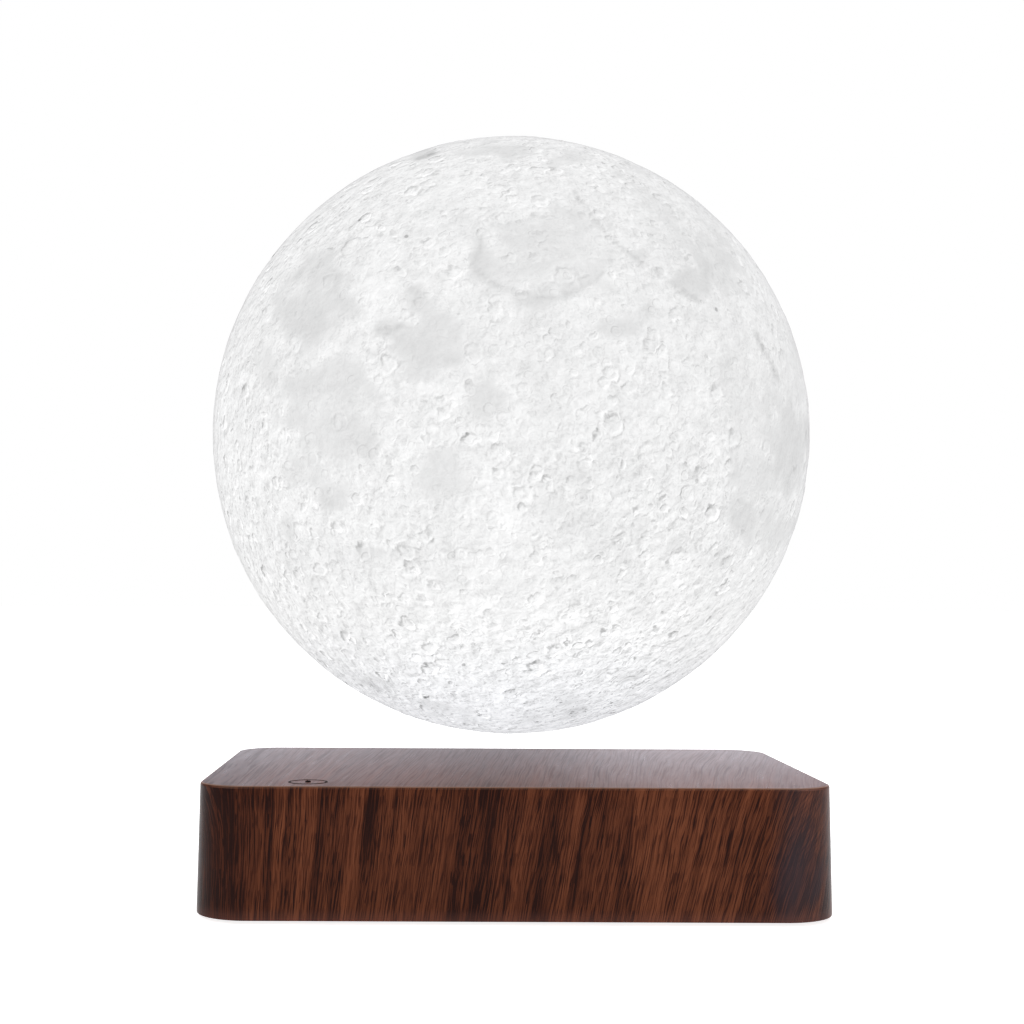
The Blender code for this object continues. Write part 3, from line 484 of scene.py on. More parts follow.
# Pits: picture place, radius in picture points, depth of the shaded arc,
# brightness of the floor.
PITS = [
    (279, 439, 10, 0.8, 0.9), (297, 533, 11.5, 0.8, 1.0),
    (315, 586, 10.5, 0.7, 0.5), (346, 247, 10.5, 1.0, 0.2),
    (493, 454, 11, 0.75, 0.6), (513, 466, 7.5, 0.45, 0.7),
    (508, 493, 9, 0.35, 0.8), (645, 453, 10, 0.75, 0.6),
    (690, 465, 9, 0.7, 0.8), (684, 494, 8, 1.0, 0.9),
    (582, 467, 7.5, 0.7, 0.8), (617, 542, 8, 0.8, 0.5),
    (676, 531, 12, 0.65, 0.6), (643, 546, 9, 0.75, 0.6),
    (649, 571, 14.5, 0.75, 0.8), (675, 563, 13, 1.0, 0.9),
    (650, 523, 7, 0.6, 0.6), (567, 617, 13, 0.9, 1.0),
    (612, 612, 11, 0.8, 1.0), (594, 620, 7, 0.9, 0.4),
    (440, 665, 8.5, 0.95, 0.7), (422, 671, 5.5, 0.9, 0.5),
    (393, 671, 5.5, 1.2, 0.3), (392, 647, 4, 1.1, 0.2),
    (395, 610, 4, 1.1, 0.2), (409, 620, 6.5, 0.75, 0.5),
    (459, 555, 8, 0.75, 0.7), (448, 557, 4.5, 1.1, 0.1),
    (477, 655, 7.5, 0.8, 0.5), (530, 657, 6, 0.8, 0.4),
    (628, 642, 12, 0.5, 0.7), (633, 657, 7, 0.8, 0.5),
    (330, 568, 6.5, 0.9, 0.3), (343, 577, 7, 0.8, 0.4),
    (318, 553, 6.5, 0.9, 0.2), (361, 558, 5, 1.1, 0.1),
    (276, 567, 8, 0.7, 0.4), (290, 557, 8, 0.7, 0.2),
    (430, 432, 7.5, 0.6, 0.3), (335, 421, 8, 0.45, 0.0),
    (357, 451, 5, 0.7, 0.1), (370, 455, 6, 0.8, 0.2),
    (283, 467, 4.5, 0.8, 0.1), (486, 409, 5.5, 0.7, 0.1),
    (551, 398, 4, 1.0, 0.1), (685, 421, 4, 0.9, 0.1),
    (568, 581, 5, 0.9, 0.3), (502, 570, 5, 0.6, 0.3),
    (458, 580, 4.5, 0.9, 0.2), (545, 630, 4.5, 0.9, 0.3),
    (576, 497, 4, 0.9, 0.1), (660, 495, 4.5, 0.9, 0.1),
    (568, 481, 5, 0.9, 0.2), (543, 480, 4.5, 0.7, 0.1),
    (640, 459, 5, 0.6, 0.3), (620, 524, 6, 0.5, 0.5),
    (632, 519, 9, 0.45, 0.8), (712, 372, 6, 0.6, 0.2),
    (635, 377, 6, 0.35, 0.3), (603, 363, 5, 0.7, 0.1),
    (660, 345, 4, 0.8, 0.2), (531, 163, 6, 0.7, 0.2),
    (535, 178, 5, 0.5, 0.2), (360, 240, 5, 0.7, 0.2),
    (274, 349, 4, 0.9, 0.1), (613, 330, 4.5, 0.8, 0.0),
    (606, 319, 4, 0.7, 0.0), (478, 232, 6, 0.7, 0.1),
    (556, 640, 5, 0.7, 0.4), (573, 688, 6, 0.9, 0.3),
    (598, 664, 5, 0.6, 0.3), (548, 672, 5, 0.6, 0.3),
    (493, 706, 4.5, 1.1, 0.2), (432, 712, 6, 1.0, 0.2),
    (372, 684, 8, 0.9, 0.3), (622, 684, 10, 0.8, 0.6),
    (655, 668, 9, 0.6, 0.6), (610, 700, 8, 0.6, 0.4),
    (568, 713, 6, 1.0, 0.2), (525, 716, 5, 1.0, 0.2),
    (452, 716, 5, 0.8, 0.2), (690, 640, 9, 0.5, 0.6),
    (710, 600, 9, 0.45, 0.5), (725, 575, 9, 0.5, 0.4),
    (250, 590, 10, 0.5, 0.4), (262, 620, 8, 0.5, 0.4),
    (236, 540, 9, 0.45, 0.4), (240, 460, 9, 0.4, 0.4),
    (300, 640, 9, 0.5, 0.4), (335, 655, 9, 0.6, 0.3),
    (340, 610, 8, 0.35, 0.4), (372, 625, 8, 0.4, 0.4),
    (520, 620, 9, 0.25, 0.5), (495, 632, 10, 0.25, 0.5),
    (540, 545, 10, 0.35, 0.4), (575, 550, 9, 0.4, 0.5),
    (430, 545, 8, 0.4, 0.4), (405, 575, 9, 0.35, 0.4),
    (700, 545, 9, 0.4, 0.4), (600, 480, 8, 0.4, 0.4),
    (625, 470, 9, 0.4, 0.5), (455, 630, 7, 0.4, 0.4),
    (545, 590, 8, 0.45, 0.5), (620, 585, 8, 0.5, 0.5),
    (690, 590, 8, 0.5, 0.5), (655, 605, 8, 0.5, 0.5),
]

# Deep, almost black specks: place, radius, depth.
SPECKS = [
    (460, 666, 3.6, 0.9), (713, 309, 3.6, 0.9), (402, 235, 3.2, 0.9),
    (402, 199, 3.0, 0.5), (600, 162, 4.0, 0.7), (355, 219, 3.6, 0.5),
    (694, 481, 3.4, 0.6), (622, 563, 3.2, 0.5), (433, 173, 2.6, 0.4),
    (283, 527, 3.4, 0.5), (660, 496, 3.0, 0.3), (616, 217, 2.6, 0.3),
    (274, 350, 2.6, 0.4), (664, 562, 3.6, 0.5), (493, 706, 2.6, 0.4),
    (392, 669, 3.0, 0.5), (543, 657, 2.4, 0.4), (568, 577, 2.8, 0.4),
    (449, 557, 2.8, 0.4), (744, 610, 3.2, 0.7), (572, 689, 2.8, 0.5),
    (523, 712, 2.6, 0.7), (569, 714, 3.0, 0.6), (578, 498, 2.4, 0.3),
    (235, 396, 2.6, 0.4), (497, 452, 2.2, 0.2), (421, 562, 2.2, 0.3),
]

# Scarps: points along a thin dark line, width in picture points, depth.
SCARPS = [
    ([(471, 268), (480, 276), (494, 285), (512, 291), (532, 295), (552, 297),
      (572, 290), (590, 281), (600, 272)], 2.2, 0.26),
    ([(491, 213), (487, 226), (476, 238), (475, 250), (468, 262)], 2.4, 0.24),
    ([(569, 191), (580, 203), (590, 216), (602, 232), (618, 247), (636, 259),
      (656, 273), (676, 290), (694, 302)], 2.0, 0.34),
    ([(667, 281), (680, 291), (698, 300)], 2.8, 0.42),
    ([(404, 285), (411, 289), (416, 296)], 2.2, 0.22),
    ([(371, 329), (384, 331), (397, 325)], 3.0, 0.20),
    ([(753, 334), (758, 346), (767, 360), (775, 378)], 2.4, 0.50),
    ([(335, 251), (340, 243), (347, 237)], 2.0, 0.34),
    ([(658, 560), (668, 553), (678, 549)], 2.0, 0.34),
    ([(355, 565), (364, 580), (374, 594)], 1.6, 0.24),
    ([(413, 158), (422, 154), (430, 151)], 2.4, 0.50),
    ([(618, 686), (628, 679), (638, 673)], 2.2, 0.36),
    ([(360, 681), (368, 687), (378, 692)], 2.2, 0.36),
    ([(566, 715), (574, 711), (582, 709)], 2.4, 0.36),
]


def lattice(ix, iy, iz, seed):
    """Repeatable value in 0..1 for each whole-number place."""
    h = (ix * 374761393 + iy * 668265263 + iz * 2147483647 + seed * 1274126177)
    h = (h ^ (h >> 13)) * 1274126177
    h = h & 0xFFFFFFFF
    h = (h ^ (h >> 16)) & 0xFFFF
    return h / 65535.0


def field(points, scale, seed):
    """Smooth value noise in -1..1 at points, for cells of size 1/scale."""
    q = points * scale
    base = np.floor(q).astype(np.int64)
    f = q - base
    f = f * f * f * (f * (f * 6 - 15) + 10)
    total = 0.0
    for dx in (0, 1):
        wx = f[:, 0] if dx else 1 - f[:, 0]
        for dy in (0, 1):
            wy = f[:, 1] if dy else 1 - f[:, 1]
            for dz in (0, 1):
                wz = f[:, 2] if dz else 1 - f[:, 2]
                total = total + wx * wy * wz * lattice(
                    base[:, 0] + dx, base[:, 1] + dy, base[:, 2] + dz, seed)
    return 2 * total - 1


def smooth(x, a, b):
    t = np.clip((x - a) / (b - a), 0.0, 1.0)
    return t * t * (3 - 2 * t)


def tone_of(points):
    """Tone of the ground at unit vectors: seas below 0, bright ground above."""
    place = seen_at(points * GLOBE_R + np.array([0, 0, GLOBE_Z]))
    place[:, 0] -= SHIFT_X
    place[:, 1] -= SHIFT_Y
    toward = EYE - np.array([0, 0, GLOBE_Z])
    facing = points @ (toward / np.linalg.norm(toward))
    place[:, 0] += 7.0 * field(points, 5.0, 3) + 6.0 * field(points, 12.0, 4)
    place[:, 1] += 7.0 * field(points, 5.0, 5) + 6.0 * field(points, 12.0, 6)
    ragged = 0.30 * field(points, 16.0, 7) + 0.24 * field(points, 32.0, 8)

    def cover(shapes):
        clear = np.ones(len(points))
        for x, y, rx, ry, turn, depth, soft in shapes:
            a = math.radians(turn)
            dx, dy = place[:, 0] - x, y - place[:, 1]
            u = (dx * math.cos(a) + dy * math.sin(a)) / rx
            v = (-dx * math.sin(a) + dy * math.cos(a)) / ry
            span = np.sqrt(u * u + v * v) + ragged
            clear *= 1 - depth * (1 - smooth(span, 1 - soft, 1 + soft))
        return 1 - clear

    front = -cover(SEAS) + 0.8 * cover(HIGHS)
    # the far side has fewer seas, set by slow noise
    slow = (field(points, 1.7, 11) + 0.5 * field(points, 3.4, 12)
            + 0.25 * field(points, 7.0, 13))
    back = (-0.75 * smooth(slow, 0.22, 0.52)
            + 0.5 * smooth(-slow, 0.1, 0.8) * (0.5 + 0.5 * field(points, 6.0, 14)))
    w = smooth(facing, -0.06, 0.20)
    return w * front + (1 - w) * back


def tangents(c):
    """Right and up on the globe's surface at unit vectors, as seen from the front."""
    c = np.atleast_2d(c)
    right = np.stack([-c[:, 1], c[:, 0], np.zeros(len(c))], 1)
    flip = np.where(np.linalg.norm(right, axis=1) < 1e-6)[0]
    right[flip] = (1.0, 0.0, 0.0)
    right /= np.linalg.norm(right, axis=1)[:, None]
    up = np.cross(c, right)
    return right, up


def make_pits():
    """All pits: middle (unit vector), radius in mm, shaded arc, floor, depth."""
    rows = []
    for x, y, r, depth in SPECKS:
        c = on_globe(x + SHIFT_X, y + SHIFT_Y)
        rows.append((*c, 0.72 * r * 0.3002, 0.4, -10.0 * depth, 0.25))
    for x, y, r, arc, floor in PITS:
        c = on_globe(x + SHIFT_X, y + SHIFT_Y)
        rows.append((*c, r * 0.3002, arc, floor, 0.17 * r * 0.3002))
    rng = np.random.default_rng(20)
    tries = rng.normal(size=(5200, 3))
    tries /= np.linalg.norm(tries, axis=1)[:, None]
    radii = np.minimum(0.95 * rng.random(5200) ** (-1 / 2.3), 4.6)
    chance = rng.random(5200)
    arcs = rng.random(5200)
    floors = rng.random(5200)
    toward = EYE - np.array([0, 0, GLOBE_Z])
    facing = tries @ (toward / np.linalg.norm(toward))
    tone = tone_of(tries)
    order = np.argsort(-radii)
    kept = [np.array(row[:3]) for row in rows]
    kept_r = [row[3] for row in rows]
    for i in order:
        c, r = tries[i], radii[i]
        if c[2] < -0.93:
            continue
        odds = 0.62 if tone[i] > -0.25 else 0.16
        if facing[i] > 0 and c[2] > 0.05:
            odds *= 0.55
        if facing[i] > 0.1 and r > 2.2:
            continue
        if chance[i] > odds:
            continue
        gap = np.linalg.norm(np.array(kept) - c, axis=1) * GLOBE_R
        if (gap < 1.05 * (np.array(kept_r) + r)).any():
            continue
        kept.append(c)
        kept_r.append(r)
        rows.append((*c, r, 0.25 + 0.60 * arcs[i], 0.15 + 0.5 * floors[i],
                     0.16 * r))
    return np.array(rows)


PIT_LAYERS = 4
SHADE_GAIN = 0.46
PIT_SPAN = 1.9


def layers_for(pits):
    """Give each pit a layer so that pits of one layer keep well apart."""
    reach = PIT_SPAN * pits[:, 3] + 1.75
    layer = np.full(len(pits), -1)
    for i in range(len(pits)):
        gap = np.linalg.norm(pits[:i, :3] - pits[i, :3], axis=1) * GLOBE_R
        near = gap < reach[:i] + reach[i] + 1.9
        used = set(layer[:i][near])
        for k in range(PIT_LAYERS):
            if k not in used:
                layer[i] = k
                break
    return layer, reach


def relief(points, pits):
    """Height of the ground in mm at unit vectors."""
    tone = tone_of(points)
    rough = 0.35 + 0.65 * smooth(tone, -0.5, -0.05)
    h = (0.10 * field(points, 7.0, 21) + 0.09 * field(points, 15.0, 22)
         + 0.07 * field(points, 31.0, 23) + 0.045 * field(points, 60.0, 24))
    h = h * rough - 0.16 * smooth(-tone, 0.05, 0.6)
    for cx, cy, cz, r, arc, floor, depth in pits:
        c = np.array([cx, cy, cz])
        near = np.where(points @ c > math.cos(2.2 * r / GLOBE_R))[0]
        if not len(near):
            continue
        t = np.arccos(np.clip(points[near] @ c, -1, 1)) * GLOBE_R / r
        bowl = -(1 - smooth(t, 0.35, 1.0))
        rim = 0.32 * np.exp(-((t - 1.05) / 0.22) ** 2)
        h[near] += 0.75 * min(depth, 0.42) * (bowl + rim)
    return h, tone


def lunar_surface(lat_low, rows, columns, hole=None):
    """Rows of unit vectors from the lowest latitude up to the pole."""
    step = (90.0 - lat_low) / rows
    made = []
    for i in range(rows):
        lat = math.radians(lat_low + i * step)
        c = math.cos(lat)
        n = columns
        for share in (0.5, 0.25, 0.125):
            if c < share * 1.0001:
                n //= 2
        a = 2 * math.pi * np.arange(n) / n
        made.append(np.stack([c * np.sin(a), -c * np.cos(a),
                              np.full(n, math.sin(lat))], 1))
    made.append(np.array([[0.0, 0.0, 1.0]]))
    return made


def stitch(starts, counts):
    """Triangles between rows whose point counts are equal or halve."""
    faces = []
    for (s0, n0), (s1, n1) in zip(zip(starts, counts),
                                  zip(starts[1:], counts[1:])):
        if n1 == 1:
            faces += [(s0 + i, s0 + (i + 1) % n0, s1) for i in range(n0)]
        elif n0 == n1:
            faces += [(s0 + i, s0 + (i + 1) % n0, s1 + (i + 1) % n1, s1 + i)
                      for i in range(n0)]
        elif n0 == 2 * n1:
            for i in range(n1):
                a, b, c = s0 + 2 * i, s0 + 2 * i + 1, s0 + (2 * i + 2) % n0
                d, e = s1 + i, s1 + (i + 1) % n1
                faces += [(a, b, d), (b, e, d), (b, c, e)]
        else:
            for i in range(n0):
                a, b = s0 + i, s0 + (i + 1) % n0
                c, d, e = s1 + 2 * i, s1 + 2 * i + 1, s1 + (2 * i + 2) % n1
                faces += [(a, d, c), (a, b, d), (b, e, d)]
    return faces


def pit_attributes(mesh, dirs, is_outer, pits):
    """Each pit layer stores where a point lies in its pit, and the pit's look."""
    layer, reach = layers_for(pits)
    right, up = tangents(pits[:, :3])
    for k in range(PIT_LAYERS):
        at = np.zeros((len(dirs), 3), np.float32)
        at[:, 2] = 5.0
        look = np.zeros((len(dirs), 3), np.float32)
        for i in np.where(layer == k)[0]:
            c = pits[i, :3]
            near = np.where((dirs @ c > math.cos(reach[i] / GLOBE_R))
                            & is_outer)[0]
            if not len(near):
                continue
            d = dirs[near]
            at[near, 0] = (d @ right[i]) * GLOBE_R / pits[i, 3]
            at[near, 1] = (d @ up[i]) * GLOBE_R / pits[i, 3]
            at[near, 2] = 0.0
            look[near] = (pits[i, 4], pits[i, 5], pits[i, 6])
        for name, data in (("pit_%d" % k, at), ("look_%d" % k, look)):
            made = mesh.attributes.new(name, 'FLOAT_VECTOR', 'POINT')
            made.data.foreach_set("vector", data.ravel())


def speck_attribute(mesh, place, facing):
    """Scarps drawn as how dark each point is."""
    dark = np.zeros(len(place))
    for line, width, depth in SCARPS:
        best = np.full(len(place), 1e9)
        for (x0, y0), (x1, y1) in zip(line, line[1:]):
            ux, uy = x1 - x0, y1 - y0
            t = np.clip(((place[:, 0] - x0) * ux + (place[:, 1] - y0) * uy)
                        / (ux * ux + uy * uy), 0, 1)
            best = np.minimum(best, np.hypot(place[:, 0] - x0 - t * ux,
                                             place[:, 1] - y0 - t * uy))
        dark = np.maximum(dark, 0.80 * depth * (1 - smooth(best, 0.3 * width,
                                                           1.5 * width)))
    dark *= smooth(facing, 0.0, 0.1)
    made = mesh.attributes.new("speck", 'FLOAT', 'POINT')
    made.data.foreach_set("value", dark.astype(np.float32))


def globe_mesh(pits, lift):
    """Printed globe: relief outside, smooth inside, open below."""
    lat_low = -math.degrees(math.acos(GLOBE_HOLE / GLOBE_R))
    rows = lunar_surface(lat_low, 219, 496)
    outer = np.concatenate(rows)
    heights, tone = relief(outer, pits)
    height = heights - lift
    # the rim of the opening keeps its true radius
    rim_z = GLOBE_Z - math.sqrt(GLOBE_R ** 2 - GLOBE_HOLE ** 2)
    radius = GLOBE_R + height
    verts = [outer * radius[:, None] + np.array([0, 0, GLOBE_Z])]
    n0 = len(rows[0])
    ring = verts[0][:n0]
    flat = np.hypot(ring[:, 0], ring[:, 1])
    ring[:, :2] *= (GLOBE_HOLE + 0.12) / flat[:, None]
    starts, counts = [], []
    at = 0
    for row in rows:
        starts.append(at)
        counts.append(len(row))
        at += len(row)
    faces = stitch(starts, counts)
    total = at

    # rim wall and the smooth inside, from the opening up to the inner pole
    inner_r = GLOBE_R - GLOBE_WALL
    inner_low = -math.degrees(math.acos(GLOBE_HOLE / inner_r))
    rings = []
    a = 2 * math.pi * np.arange(n0) / n0
    low_z = float(ring[:, 2].mean())
    rings.append(np.stack([GLOBE_HOLE * np.sin(a), -GLOBE_HOLE * np.cos(a),
                           np.full(n0, low_z + 0.15)], 1))
    n1 = n0 // 2
    a = 2 * math.pi * np.arange(n1) / n1
    rings.append(np.stack([GLOBE_HOLE * np.sin(a), -GLOBE_HOLE * np.cos(a),
                           np.full(n1, low_z + 0.8)], 1))
    n2 = n1 // 2
    inner_rows = 40
    for i in range(inner_rows):
        lat = math.radians(inner_low + (90.0 - inner_low) * i / inner_rows)
        c = math.cos(lat)
        a = 2 * math.pi * np.arange(n2) / n2
        rings.append(np.stack([inner_r * c * np.sin(a), -inner_r * c * np.cos(a),
                               np.full(n2, GLOBE_Z + inner_r * math.sin(lat))], 1))
    rings.append(np.array([[0.0, 0.0, GLOBE_Z + inner_r]]))
    in_starts, in_counts = [0], [n0]
    for ring in rings:
        in_starts.append(total)
        in_counts.append(len(ring))
        total += len(ring)
        verts.append(ring)
    faces += [f[::-1] for f in stitch(in_starts, in_counts)]

    co = np.concatenate(verts) * MM
    mesh = bpy.data.meshes.new("lunar_globe")
    mesh.from_pydata(co.tolist(), [], faces)
    mesh.update()
    mesh.shade_smooth()
    mesh.set_sharp_from_angle(angle=math.radians(60.0))

    n_out = len(outer)
    dirs = np.concatenate([outer, np.zeros((len(co) - n_out, 3))])
    is_outer = np.arange(len(co)) < n_out
    tones = np.zeros(len(co), np.float32)
    tones[:n_out] = tone
    made = mesh.attributes.new("tone", 'FLOAT', 'POINT')
    made.data.foreach_set("value", tones)
    pit_attributes(mesh, dirs, is_outer, pits)
    place = np.full((len(co), 2), -1000.0)
    place[:n_out] = seen_at(outer * GLOBE_R + np.array([0, 0, GLOBE_Z]))
    place[:n_out, 0] -= SHIFT_X
    place[:n_out, 1] -= SHIFT_Y
    toward = EYE - np.array([0, 0, GLOBE_Z])
    facing = np.full(len(co), -1.0)
    facing[:n_out] = outer @ (toward / np.linalg.norm(toward))
    speck_attribute(mesh, place, facing)
    return mesh


def cap_mesh(pits, lift):
    """Plug: its outside carries the globe's relief on to the lower pole."""
    edge = GLOBE_HOLE - 0.15
    sides = 192
    a_edge = math.asin(edge / GLOBE_R)
    rows = [np.array([[0.0, 0.0, -1.0]])]
    counts = [24, 48, 96, 96, 192, 192]
    steps = 26
    for i in range(1, steps + 1):
        a = a_edge * i / steps
        n = 24 if i < 4 else 48 if i < 8 else 96 if i < 15 else sides
        t = 2 * math.pi * np.arange(n) / n
        rows.append(np.stack([math.sin(a) * np.sin(t), -math.sin(a) * np.cos(t),
                              np.full(n, -math.cos(a))], 1))
    outer = np.concatenate(rows)
    heights, tone = relief(outer, pits)
    verts = [outer * (GLOBE_R + heights - lift)[:, None]
             + np.array([0, 0, GLOBE_Z])]
    starts, ns, at = [], [], 0
    for row in rows:
        starts.append(at)
        ns.append(len(row))
        at += len(row)
    # stitch() works from many points to few, so the rows go in backwards
    faces = [f[::-1] for f in stitch(starts[::-1], ns[::-1])]
    faces = [f[::-1] for f in faces]
    last = verts[0][-sides:]
    flat = np.hypot(last[:, 0], last[:, 1])
    last[:, :2] *= (edge - 0.10) / flat[:, None]
    floor = GLOBE_Z - GLOBE_R + 4.0
    pocket = 20.3
    r_in = GLOBE_R - GLOBE_WALL

    def low(r):
        return GLOBE_Z - math.sqrt(r_in * r_in - r * r)

    z_edge = float(last[:, 2].mean())
    wall = edge - 1.5
    profile = [(edge, z_edge + 0.15), (edge, floor + 6.6), (edge - 0.2, floor + 6.8),
               (wall + 0.2, floor + 6.8), (wall, floor + 6.6),
               (wall, low(wall) + 0.2), (27.0, low(27.0) + 0.2),
               (24.5, low(24.5) + 0.2),
               (pocket + 1.5, low(pocket + 1.5) + 0.2),
               (pocket + 1.5, floor + 7.6), (pocket + 1.3, floor + 7.8),
               (pocket + 0.2, floor + 7.8), (pocket, floor + 7.6),
               (pocket, floor)]
    t = 2 * math.pi * np.arange(sides) / sides
    starts2, ns2 = [at - sides], [sides]
    for r, z in profile:
        verts.append(np.stack([r * np.sin(t), -r * np.cos(t),
                               np.full(sides, z)], 1))
        starts2.append(at)
        ns2.append(sides)
        at += sides
    verts.append(np.array([[0.0, 0.0, floor]]))
    starts2.append(at)
    ns2.append(1)
    at += 1
    faces += stitch(starts2, ns2)
    co = np.concatenate(verts) * MM
    mesh = bpy.data.meshes.new("globe_plug")
    mesh.from_pydata(co.tolist(), [], faces)
    mesh.update()
    bm = bmesh.new()
    bm.from_mesh(mesh)
    bmesh.ops.recalc_face_normals(bm, faces=bm.faces)
    bm.to_mesh(mesh)
    bm.free()
    mesh.shade_smooth()
    mesh.set_sharp_from_angle(angle=math.radians(40.0))
    made = mesh.attributes.new("tone", 'FLOAT', 'POINT')
    tones = np.zeros(len(co), np.float32)
    tones[:len(outer)] = tone
    made.data.foreach_set("value", tones)
    dirs = np.concatenate([outer, np.zeros((len(co) - len(outer), 3))])
    pit_attributes(mesh, dirs, np.arange(len(co)) < len(outer), pits)
    made = mesh.attributes.new("speck", 'FLOAT', 'POINT')
    made.data.foreach_set("value", np.zeros(len(co), np.float32))
    return mesh


def lunar_material(name):
    """White printed shell, glowing a little, with seas, pits and fine grain, their relief
    painted as shade lit from the upper left, and painted light set by height.
    """
    s = Shade(name, roughness=0.62, specular=0.02)
    p = s.coord("Object")
    tone = s.attribute("tone", "Fac")
    speck = s.attribute("speck", "Fac")
    # shores are ragged, and the floor of a sea is mottled
    ragged = s.noise(p, 150.0, 4.0, 0.62)
    depth = s.mul(tone, -1.0)
    depth = s.add(depth, s.mul(s.math('SUBTRACT', ragged, 0.5), 0.85,
                               s.step(depth, 0.0, 0.30)))
    sea = s.step(depth, 0.0, 0.92, smooth=False)
    bright = s.step(tone, 0.0, 1.0, 0.0, 1.0, smooth=False)
    high = s.math('SUBTRACT', 1.0, s.step(sea, 0.10, 0.60, 0.0, 0.58))
    level = s.split(p)[2]
    left = s.split(p)[0]
    rough = s.mul(high, s.add(s.step(level, 0.048, 0.098, 1.75, 0.95),
                              s.step(level, 0.105, 0.160, 0.0, -0.26),
                              s.step(level, 0.190, 0.218, 0.0, 0.40),
                              s.step(left, -0.084, -0.048, 0.60, 0.0),
                              s.mul(s.step(level, 0.165, 0.190),
                                    s.step(left, -0.050, -0.015, 0.50, 0.0)),
                              s.mul(s.step(left, 0.005, 0.030),
                                    s.step(left, 0.046, 0.068, 1.0, 0.0),
                                    s.step(level, 0.108, 0.138, 0.34, 0.0))))

    # right and up along the surface, from the globe's own middle and axis
    out = s.vector('NORMALIZE', s.vector('SUBTRACT', p, (0.0, 0.0, GLOBE_Z * MM)))
    right = s.vector('NORMALIZE', s.vector('CROSS_PRODUCT', (0.0, 0.0, 1.0), out))
    up = s.vector('CROSS_PRODUCT', out, right)
    slant = s.vector('ADD', s.vector('SCALE', right, scale=-0.70 * 0.00028),
                     s.vector('SCALE', up, scale=0.71 * 0.00028))
    warp = s.node("ShaderNodeTexNoise", noise_dimensions='3D')
    s.put(warp.inputs["Vector"], p)
    s.put(warp.inputs["Scale"], 340.0)
    s.put(warp.inputs["Detail"], 3.0)
    drift = s.vector('SUBTRACT', warp.outputs["Color"], (0.5, 0.5, 0.5))
    bent = s.vector('ADD', p, s.vector('SCALE', drift, scale=0.0042))

    def ground(q):
        """Height of the fine ground: overlapping pits of three sizes, and grain."""
        total = s.mul(s.math('SUBTRACT', s.noise(q, 255.0, 3.0, 0.60), 0.5), 2.3)
        for cells, keep, gain in ((175.0, 0.58, 0.64), (300.0, 0.45, 0.56),
                                  (540.0, 0.35, 0.40)):
            v = s.voronoi(q, cells)
            chance = s.split(v["Color"])
            size = s.step(chance[0], 0.0, 1.0, 0.16, 0.50, smooth=False)
            span = s.math('DIVIDE', v["Distance"], size)
            bowl = s.step(span, 0.52, 1.0, -1.0, 0.0)
            rim = s.mul(s.step(span, 0.72, 1.0), s.step(span, 1.02, 1.5, 1.0, 0.0))
            here = s.step(chance[1], keep, keep + 0.05, 0.0, gain * 400.0 / cells)
            total = s.add(total, s.mul(here, size, s.add(bowl, s.mul(rim, 0.45))))
        return total

    # painted shade: the fine relief is shaded as if lit from the upper left, from its
    # height at two places a little apart
    near = ground(s.vector('SUBTRACT', bent, slant))
    far = ground(s.vector('ADD', bent, slant))
    shade = s.mul(s.math('SUBTRACT', near, far), rough)
    shade = s.add(s.math('MINIMUM', shade, 0.0),
                  s.mul(s.math('MAXIMUM', shade, 0.0), 0.62), 0.012)

    # mottled ground at several sizes
    n1 = s.noise(p, 70.0, 3.0, 0.6)
    n2 = s.noise(p, 230.0, 3.0, 0.65)
    n3 = s.noise(p, 900.0, 2.0, 0.7)
    mottle = s.add(s.mul(s.math('SUBTRACT', n1, 0.5), 0.16),
                   s.mul(s.math('SUBTRACT', n2, 0.5), 0.22, high),
                   s.mul(s.math('SUBTRACT', n3, 0.5), 0.15, high))

    # dark grit round the globe's foot, thicker on one side
    grit = 0.0
    where = s.noise(p, 60.0, 2.0, 0.5)
    where = s.add(where, s.step(left, -0.030, 0.020, -0.01, 0.06))
    for cells, keep, size, gain in ((430.0, 0.52, 0.26, 0.34), (820.0, 0.40, 0.34, 0.24),
                                    (290.0, 0.70, 0.24, 0.30)):
        v = s.voronoi(bent, cells)
        chance = s.split(v["Color"])
        dot = s.mul(s.step(v["Distance"], 0.3 * size, size, 1.0, 0.0),
                    s.step(chance[0], keep, keep + 0.04, 0.0, 1.0),
                    s.step(chance[1], 0.0, 1.0, 0.3, 1.0, smooth=False))
        grit = s.add(grit, s.mul(dot, gain))
    near_foot = s.mul(s.step(level, 0.056, 0.094, 1.0, 0.0),
                      s.step(level, 0.0462, 0.0500, 0.35, 1.0),
                      s.step(where, 0.40, 0.58, 0.35, 1.0))
    all_over = s.mul(s.step(where, 0.46, 0.60, 0.0, 0.26), high)
    thick = s.mul(s.step(left, 0.000, 0.014), s.step(left, 0.030, 0.046, 1.0, 0.0),
                  s.step(level, 0.0470, 0.0520), s.step(level, 0.058, 0.074, 1.0, 0.0))
    grit = s.mul(grit, s.math('MAXIMUM', s.math('MAXIMUM', near_foot, all_over),
                              s.mul(thick, 1.7)))

    value = s.add(0.860, s.mul(sea, -0.128), s.mul(bright, 0.055), mottle,
                  s.mul(shade, SHADE_GAIN), s.mul(speck, -0.40), s.mul(grit, -1.0),
                  s.step(speck, 0.62, 1.0, 0.0, -0.22))
    height = s.add(s.mul(s.add(near, far), 0.09, rough), s.mul(n3, 0.05, high))

